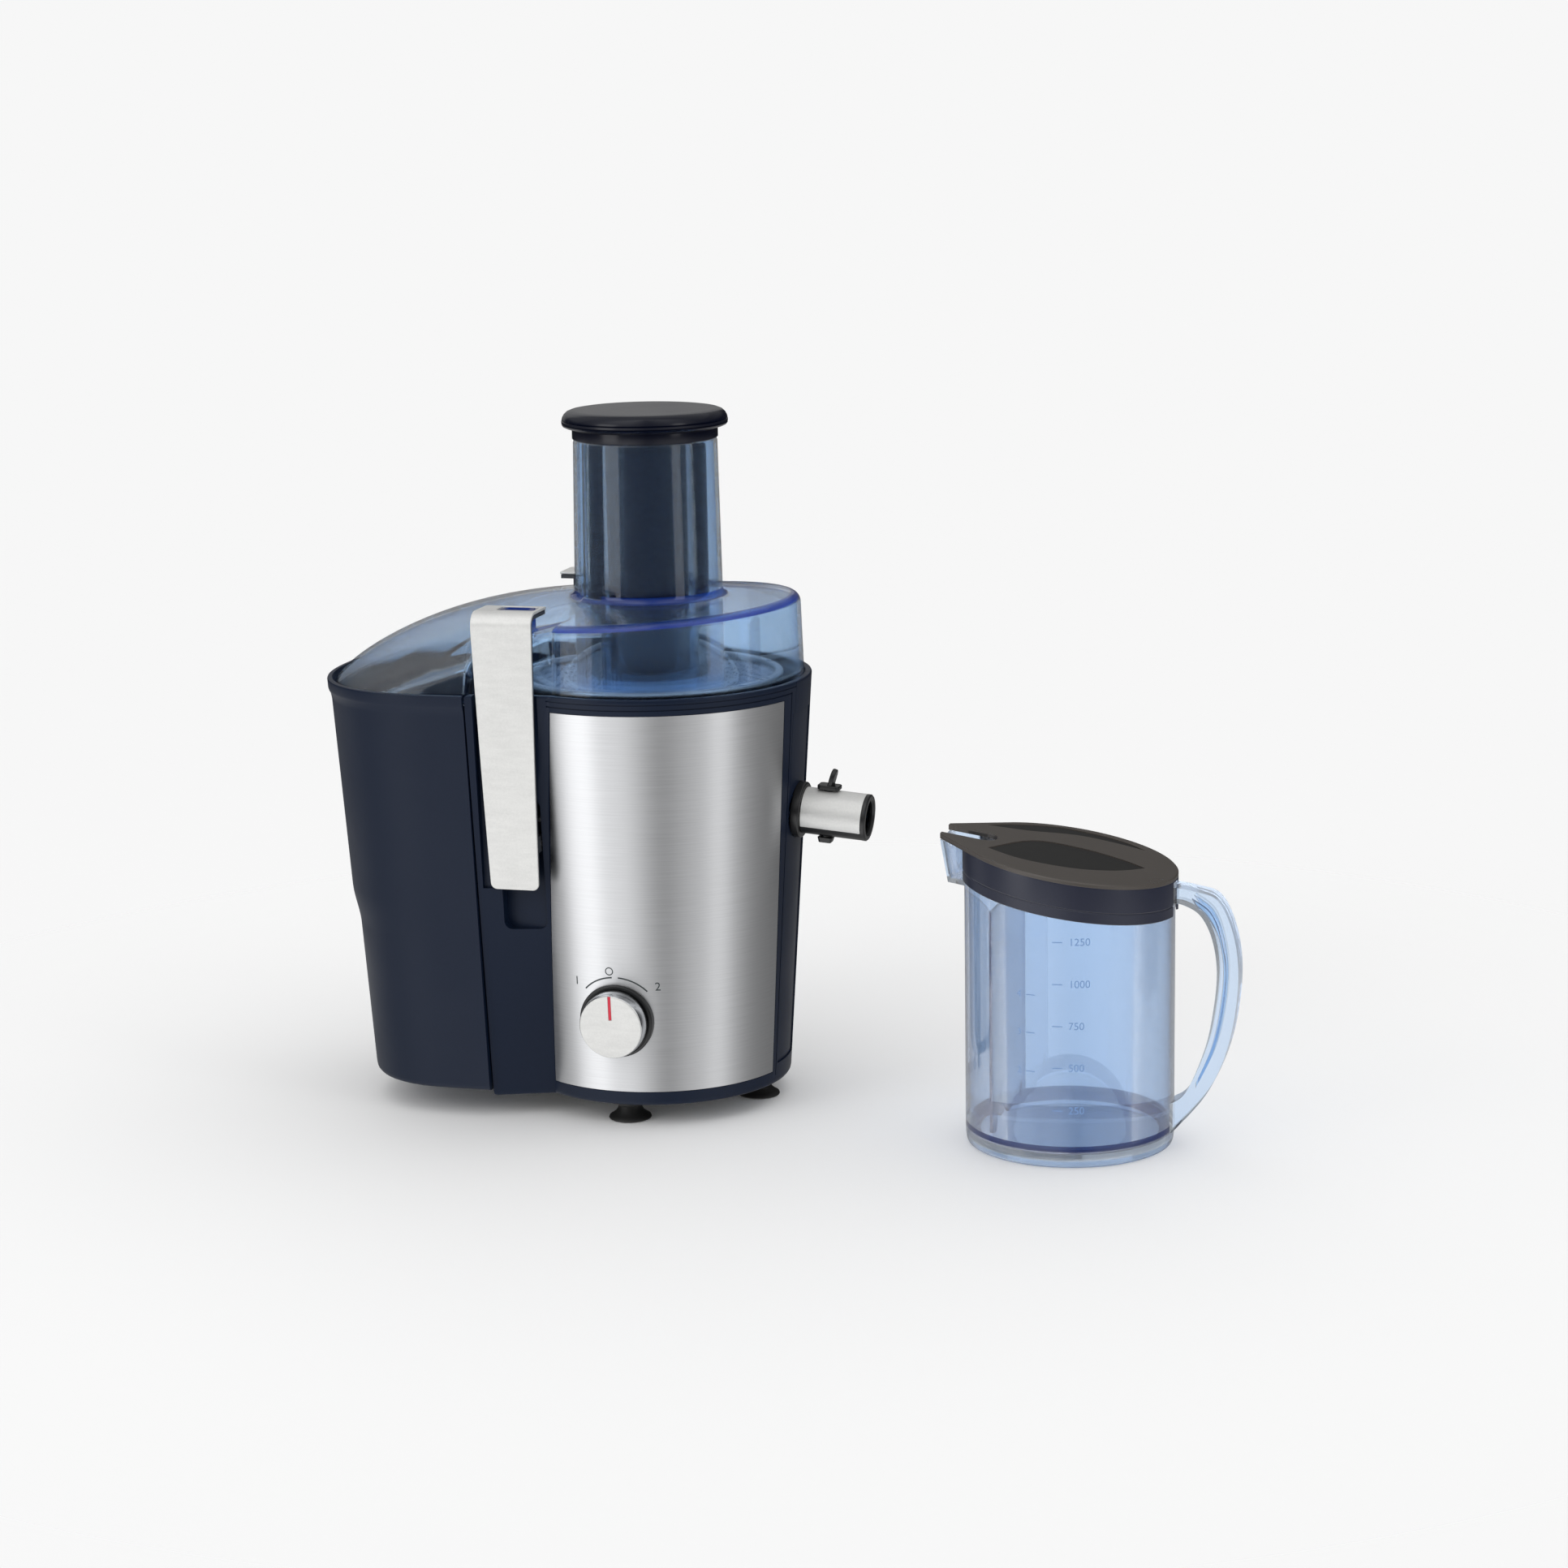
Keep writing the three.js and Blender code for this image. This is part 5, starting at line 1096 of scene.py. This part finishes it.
for where, side in (("front", -1), ("rear", 1)):
    skin = ease_edges(cut(clamp_layer(0, CLAMP_SKIN, side), lug_window(side)), 0.7, 3)
    piece(skin, "clamp_silver_" + where, silver_paint, "clamp_" + where, "silver_paint",
          "clamp_skin_" + where)
    liner = cut(clamp_layer(*LINER_DEPTH, side, 0.5), lug_window(side))
    hinge = (LINK_PIN_Y, CLAMP_PIN_Z)
    inner_face = clamp_face(hinge[1]) - LINER_DEPTH[1] + 0.8
    ears = [slab([(hinge[0] - 4, hinge[1] - 5), (inner_face, hinge[1] - 5), (inner_face, hinge[1] + 5),
                  (hinge[0] - 4, hinge[1] + 5)], span_x,
                 FLIPPED[side] @ Matrix(((0, 0, 1, 0), (1, 0, 0, 0), (0, 1, 0, 0), (0, 0, 0, 1))))
            for span_x in ((POCKET_X[0] + 1, POCKET_X[0] + 4), (POCKET_X[1] - 4, POCKET_X[1] - 1))]
    join(liner, *ears)
    piece(ease_edges(liner, 0.4, 2), "clamp_backing_" + where, grey_abs, "clamp_" + where,
          "dark_grey_plastic", "clamp_liner_" + where)

# ------------------------------------------------------------------ pulp container
levels = [(17, -2.2), (17.5, -1.1), (18.6, -0.3), (20.5, 0), (60, 0), (90, 0), (GRIP_Z[0], 0), (117, 0),
          (121, 0), (125, 0), (129, 0), (133, 0), (GRIP_Z[1], 0), (180, 0), (220, 0), (RIM - 13, 0),
          (RIM - 9, 0.5), (RIM - 7.4, 1.3), (RIM - 6, BEAD), (RIM - 1, BEAD),
          (RIM - 0.3, BEAD - 0.3), (RIM, BEAD - 1)]
pulp_bin = loft([bin_outline(z, 0, bead) for z, bead in levels])
inside = loft([bin_outline(z, inset) for z, inset in
               [(BIN_FLOOR + 2.4, 8), (BIN_FLOOR + 3.4, 4.5), (BIN_FLOOR + 6, 2.7),
                (BIN_FLOOR + 9, BIN_WALL)]
               + [(z, BIN_WALL) for z in (GRIP_Z[0], 121, 129, GRIP_Z[1], RIM + 1)]])
cut(inside, bin_front(1 + BIN_WALL))
seat_cut = loft([cover_outline(z, 0, 1.4, 1.4) for z in (LEDGE + 2 * GAP, RIM + 1)])
passage = block((SEAM_X - 30, 0), (8 - SIDE, SIDE - 8), (RIM - 13, RIM + 5))
cut(pulp_bin, bin_front(1), inside, seat_cut, passage)
piece(ease_edges(pulp_bin, 0.5, 2, 50), "pulp_bin_shell", navy_abs, "pulp_bin", "navy_plastic",
      "pulp_container")

# ------------------------------------------------------------------ jug
def rim_at(x):
    return JUG_RIM - JUG_SLOPE * x


def top_at(x):
    return JUG_LID_TOP - JUG_SLOPE * x


def circle(radius, height, steps=128):
    return [(x, y, height(x)) for x, y in ring_points(radius, steps)]


def flat(height):
    return lambda x: height


def pour(inset, low, high, reach=LIP_REACH):
    """The pouring lip's block: straight sides drawn in to a blunt tip, a little shorter at its foot."""
    tip_x, tip_y = JUG_TIP
    rings = []
    for share, height in ((reach, flat(low)), (1, high)):
        x, y = tip_x * share + inset, tip_y - inset
        corners = (-30, 40 - inset), (x, y), (x, -y), (-30, inset - 40)
        rings.append([(px, py, height(px)) for px, py in corners])
    return loft(rings, JUG_AXIS)


cup = loft([circle(JUG - 1.8, flat(0)), circle(JUG - 1.1, flat(0.4)), circle(JUG - 0.6, flat(1.6)),
            circle(JUG - 0.2, flat(4)), circle(JUG, flat(8)), circle(JUG, flat(10)),
            circle(JUG, flat(13.5)), circle(JUG, flat(80)), circle(JUG, rim_at)], JUG_AXIS)
well = loft([circle(JUG - 9, flat(JUG_FLOOR)), circle(JUG - 5, flat(JUG_FLOOR + 0.4)),
             circle(JUG - 3.4, flat(JUG_FLOOR + 1.6)), circle(JUG - JUG_WALL, flat(JUG_FLOOR + 4)),
             circle(JUG - JUG_WALL, flat(100)), circle(JUG - JUG_WALL, lambda x: rim_at(x) + 30)], JUG_AXIS)
under = loft([circle(JUG - 5, flat(-1)), circle(JUG - 5.4, flat(3.2)), circle(JUG - 7, flat(4))], JUG_AXIS)
lip = shared(pour(0, LIP_FOOT, lambda x: top_at(x) - 4), block((-90, -46), (-60, 60), (100, 250), JUG_AXIS))
grip_side = [(-1, 164), (13, 163), (27, 154), (36, 136), (39.85, 112), (38, 84), (32, 58), (21, 34),
             (3, 12), (-1, 9)]
grip_back = [(-1, 27), (9, 35), (20, 62), (25, 86), (27, 110), (24, 130), (17, 144), (7, 150), (-1, 151)]
UPRIGHT = JUG_AXIS @ Matrix.Rotation(math.pi / 2, 4, "X")
grip_outline = smooth_line([(JUG + out, min(z, rim_at(JUG + out) - 0.2)) for out, z in grip_side])
grip_outline += smooth_line([(JUG + out, z) for out, z in grip_back])
handle = ease_edges(slab(grip_outline, (-GRIP_HALF, GRIP_HALF), UPRIGHT), 3.2, 4, 60)
clear_of_cup = drum(JUG - JUG_WALL, (0, 200), at=JUG_AXIS, steps=128)
cut(handle, clear_of_cup)
flutes = []
flute_side = [(16, 156), (27, 148), (33, 134), (36.5, 112), (34.5, 86), (29, 62), (19, 40)]
flute_rear = [(11, 40), (20, 62), (25, 86), (27, 110), (24, 130), (17, 143), (12, 147)]
flute_out = smooth_line([(JUG + out - 4.2, z - 2) for out, z in flute_side])
flute_back = smooth_line([(JUG + out + 3.8, z + 1) for out, z in flute_rear])
for y in ((FLUTE_HALF, 12), (-12, -FLUTE_HALF)):
    flutes.append(slab(flute_out + flute_back, y, UPRIGHT))
cut(handle, *flutes)
jug = cut(join(cup, lip), well, pour(JUG_WALL, LIP_FOOT + JUG_WALL, lambda x: top_at(x) + 2), under)
join(jug, handle)
piece(jug, "juice_jug", jug_clear, "jug", "clear_blue", "jug", sharp=40)
# Painted shade: deep blue is laid where the wall meets the jug's floor, and mid blue in the grip's flutes,
# standing in for light piped along the wall.
jug.data.materials.append(jug_painted_edge_shade)
jug.data.materials.append(jug_painted_flute_shade)
to_jug = (ON_AXIS @ JUG_AXIS).inverted()
for face in jug.data.polygons:
    x, y, z = to_jug @ face.center
    reach = math.hypot(x, y)
    in_well = JUG - 8 < reach < JUG - 0.5 and JUG_FLOOR - 0.5 < z < JUG_FLOOR + 5
    if in_well or (reach > JUG - 0.5 and 10 < z < 13.5):
        face.material_index = 1
    elif x > JUG + 3 and abs(abs(y) - FLUTE_HALF) < 0.1 and abs(face.normal.y) > 0.9:
        face.material_index = 2

half = math.sqrt((JUG - JUG_WALL - 1) ** 2 - SEPARATOR**2)
plate_outline = [(-half, 150), (half, 150), (half, 14), (half - 9, 12), (half - 12, 24), (half - 20, 19),
                 (8, 19), (4, 15), (-4, 15), (-8, 19), (20 - half, 19), (12 - half, 24), (9 - half, 12),
                 (-half, 14)]
plate = loft([[(x, y, z) for y, z in plate_outline] for x in (-SEPARATOR - 1, -SEPARATOR + 1)], JUG_AXIS)
piece(ease_edges(plate, 0.3, 2), "froth_separator", jug_clear, "jug", "clear_blue", "foam_separator")
# Painted shade: the separator's edge faces get the deep blue, standing in for light piped along the plate.
plate.data.materials.append(jug_painted_edge_shade)
for face in plate.data.polygons:
    if abs(face.normal.x) < 0.5:
        face.material_index = 1


def on_jug(arc_length, height, proud):
    turn = math.radians(-86) + arc_length / JUG
    return JUG_AXIS @ Vector(((JUG + proud) * math.cos(turn), (JUG + proud) * math.sin(turn), height))


for i, height in enumerate((35.4, 61.4, 86.8, 112.2, 137.6)):
    tick = [((-3, height - 0.3), (-3, height + 0.3)), ((3, height - 0.3), (3, height + 0.3))]
    amount = str(250 * (i + 1))
    print_band(tick, "jug_line_" + amount, on_jug, "jug", "clear_blue", scale_relief)
    figures(amount, "jug_figure_" + amount, 6.4, (5.5 + 1.9 * len(amount), height), on_jug, "jug",
            "clear_blue", scale_relief)
for i, height in enumerate((58.5, 82, 105)):
    tick = [((-19, height - 0.3), (-19, height + 0.3)), ((-13.5, height - 0.3), (-13.5, height + 0.3))]
    print_band(tick, f"jug_cup_line_{i + 2}", on_jug, "jug", "clear_blue", scale_relief)
    figures(str(i + 2), f"jug_cup_figure_{i + 2}", 5.6, (-23.5, height), on_jug, "jug", "clear_blue",
            scale_relief)


def lens(radius, height, steps=96):
    """The jug lid's outline: a circle drawn out to a blunt point over the pouring lip."""
    tip_x, tip_y = JUG_TIP
    leave = math.atan2(tip_y, tip_x) - math.acos(radius / math.hypot(tip_x, tip_y))
    half = [(radius * math.cos(leave * i / steps), radius * math.sin(leave * i / steps))
            for i in range(steps + 1)]
    half.append((tip_x, tip_y))
    outline = half + [(x, -y) for x, y in reversed(half[1:])]
    return [(x, y, height(x)) for x, y in outline]


def under_plate(x):
    return top_at(x) - JUG_LID_PLATE


rim_out = JUG + 1.8
top = loft([lens(rim_out - 0.6, under_plate), lens(rim_out, lambda x: top_at(x) - 2.2),
            lens(rim_out, lambda x: top_at(x) - 0.7), lens(rim_out - 0.7, top_at)], JUG_AXIS)
skirt_lines = [(1, JUG_SKIRT), (0.1, JUG_SKIRT - 0.6), (0.0, 17.8), (0.5, 17.4), (0.5, 17.0), (0, 16.6),
               (0.0, 3.2), (0.6, 1)]
skirt = loft([circle(rim_out - inset, lambda x, drop=drop: top_at(x) - drop)
              for inset, drop in skirt_lines], JUG_AXIS)
hollow_lid = loft([circle(JUG + GAP, flat(100)), circle(JUG + GAP, under_plate)], JUG_AXIS)
handle_slot = block((0, JUG + 10), (-GRIP_HALF - SLIDE, GRIP_HALF + SLIDE),
                    (100, top_at(rim_out) - JUG_LID_PLATE), JUG_AXIS)
cut(skirt, hollow_lid, pour(-SLIDE, 100, under_plate, 1), handle_slot)


def notch_tool():
    return slab(rounded((-90, -44), (-JUG_NOTCH, JUG_NOTCH), 8), (100, 250), JUG_AXIS)


LEAVES = {
    "front": [(-44.6, -24.9), (-25, 13), (4, 17.6), (29.5, 10), (45.7, 0), (31, -19.3), (8, -33),
              (-22, -35)],
    "rear": [(-56, 28), (-31.5, 34), (-5, 46), (18, 46), (38.7, 41.4), (28, 50), (13, 56), (-5, 58),
             (-20, 56), (-42, 43)],
}


def leaf(where, low, high, inset=0.0):
    """One sunken leaf of the lid's top, with pointed ends and softly bent sides."""
    corners = LEAVES[where]
    end = 4
    outline = smooth_line(corners[: end + 1], 5)[:-1] + smooth_line(corners[end:] + corners[:1], 5)[:-1]
    middle = Vector((sum(x for x, _ in outline), sum(y for _, y in outline))) / len(outline)
    drawn = [Vector(point) + (middle - Vector(point)).normalized() * inset for point in outline]
    return loft([[(x, y, top_at(x) + drop) for x, y in drawn] for drop in (low, high)], JUG_AXIS)


cut(top, leaf("front", -1.0, 3), leaf("rear", -1.0, 3), notch_tool())
cut(skirt, notch_tool())
piece(ease_edges(top, 0.3, 2, 50), "jug_lid_plate", warm_abs, "jug_cover", "warm_grey_plastic", "jug_lid",
      sharp=12)
piece(skirt, "jug_lid_skirt", skirt_abs, "jug_cover", "warm_grey_plastic", sharp=40)
for where in LEAVES:
    piece(leaf(where, -1.0, -0.6, 0.4), "jug_lid_leaf_" + where, leaf_abs, "jug_cover", "warm_grey_plastic")

# ------------------------------------------------------------------ pieces kept from the CAD model
finishes = {
    "base_plate": black_abs, "lower_motor_bracket": laminated, "upper_motor_bracket": laminated,
    "lower_bearing": bare_steel, "upper_bearing": bare_steel, "stator_core": laminated,
    "field_coil_a": copper, "field_coil_b": copper, "brush_holder_a": black_abs,
    "brush_holder_b": black_abs, "rubber_damper_1": rubber, "rubber_damper_2": rubber,
    "rubber_damper_3": rubber, "rubber_damper_4": rubber, "shaft_seal": rubber,
    "interlock_switch": grey_abs, "rotary_switch": grey_abs, "grater_disc": bare_steel,
    "motor_shaft": bare_steel, "drive_coupling": black_abs, "armature": laminated, "commutator": copper,
    "cooling_fan": grey_abs, "clamp_pin_front": bare_steel, "clamp_pin_rear": bare_steel,
    "clamp_link_front": bare_steel, "clamp_link_rear": bare_steel, "link_pin_front": bare_steel,
    "link_pin_rear": bare_steel,
}
for name, material in finishes.items():
    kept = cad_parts[name].data.materials
    kept.clear()
    kept.append(material)

# ------------------------------------------------------------------ floor
floor_edge = [(x, y, -0.4) for x, y in ring_points(8000, 96)]
floor = shape(floor_edge, [tuple(range(96))])
floor.name = "studio_floor"
if floor.data.polygons[0].normal.z < 0:
    floor.data.flip_normals()
# Pale matt table top that fades into the backdrop away from the juicer.
pale, tree, shader = surface("pale_studio_floor", "#f4f4f4", 0.7)
place = node(tree, "TexCoord").outputs["Object"]
far = node(tree, "VectorMath", {0: place}, operation="LENGTH")
steep = node(tree, "Math", {0: far.outputs["Value"], 1: 1 / 0.6}, operation="MULTIPLY")
risen = node(tree, "Math", {0: steep.outputs[0], 1: 5.0}, operation="POWER")
below = node(tree, "Math", {0: risen.outputs[0], 1: 1.0}, operation="ADD")
fade = node(tree, "Math", {0: 1.0, 1: below.outputs[0]}, operation="DIVIDE")
tree.links.new(fade.outputs[0], shader.inputs["Alpha"])
speck = node(tree, "TexNoise", {"Vector": place, "Scale": 1 / 0.004, "Detail": 2.0})
bump = node(tree, "Bump", {"Height": speck.outputs[0], "Strength": 0.05, "Distance": 0.05 * MM})
tree.links.new(bump.outputs[0], shader.inputs["Normal"])
floor.data.materials.append(pale)
floor.visible_glossy = False

# The jug and its lid aren't mirrored in the steel front.
for made in (jug, plate, top, skirt):
    made.visible_glossy = False
# Clear plastic lets the lamps' light through to what stands behind it.
for made in (jug, plate, lid, bowl):
    made.visible_shadow = False
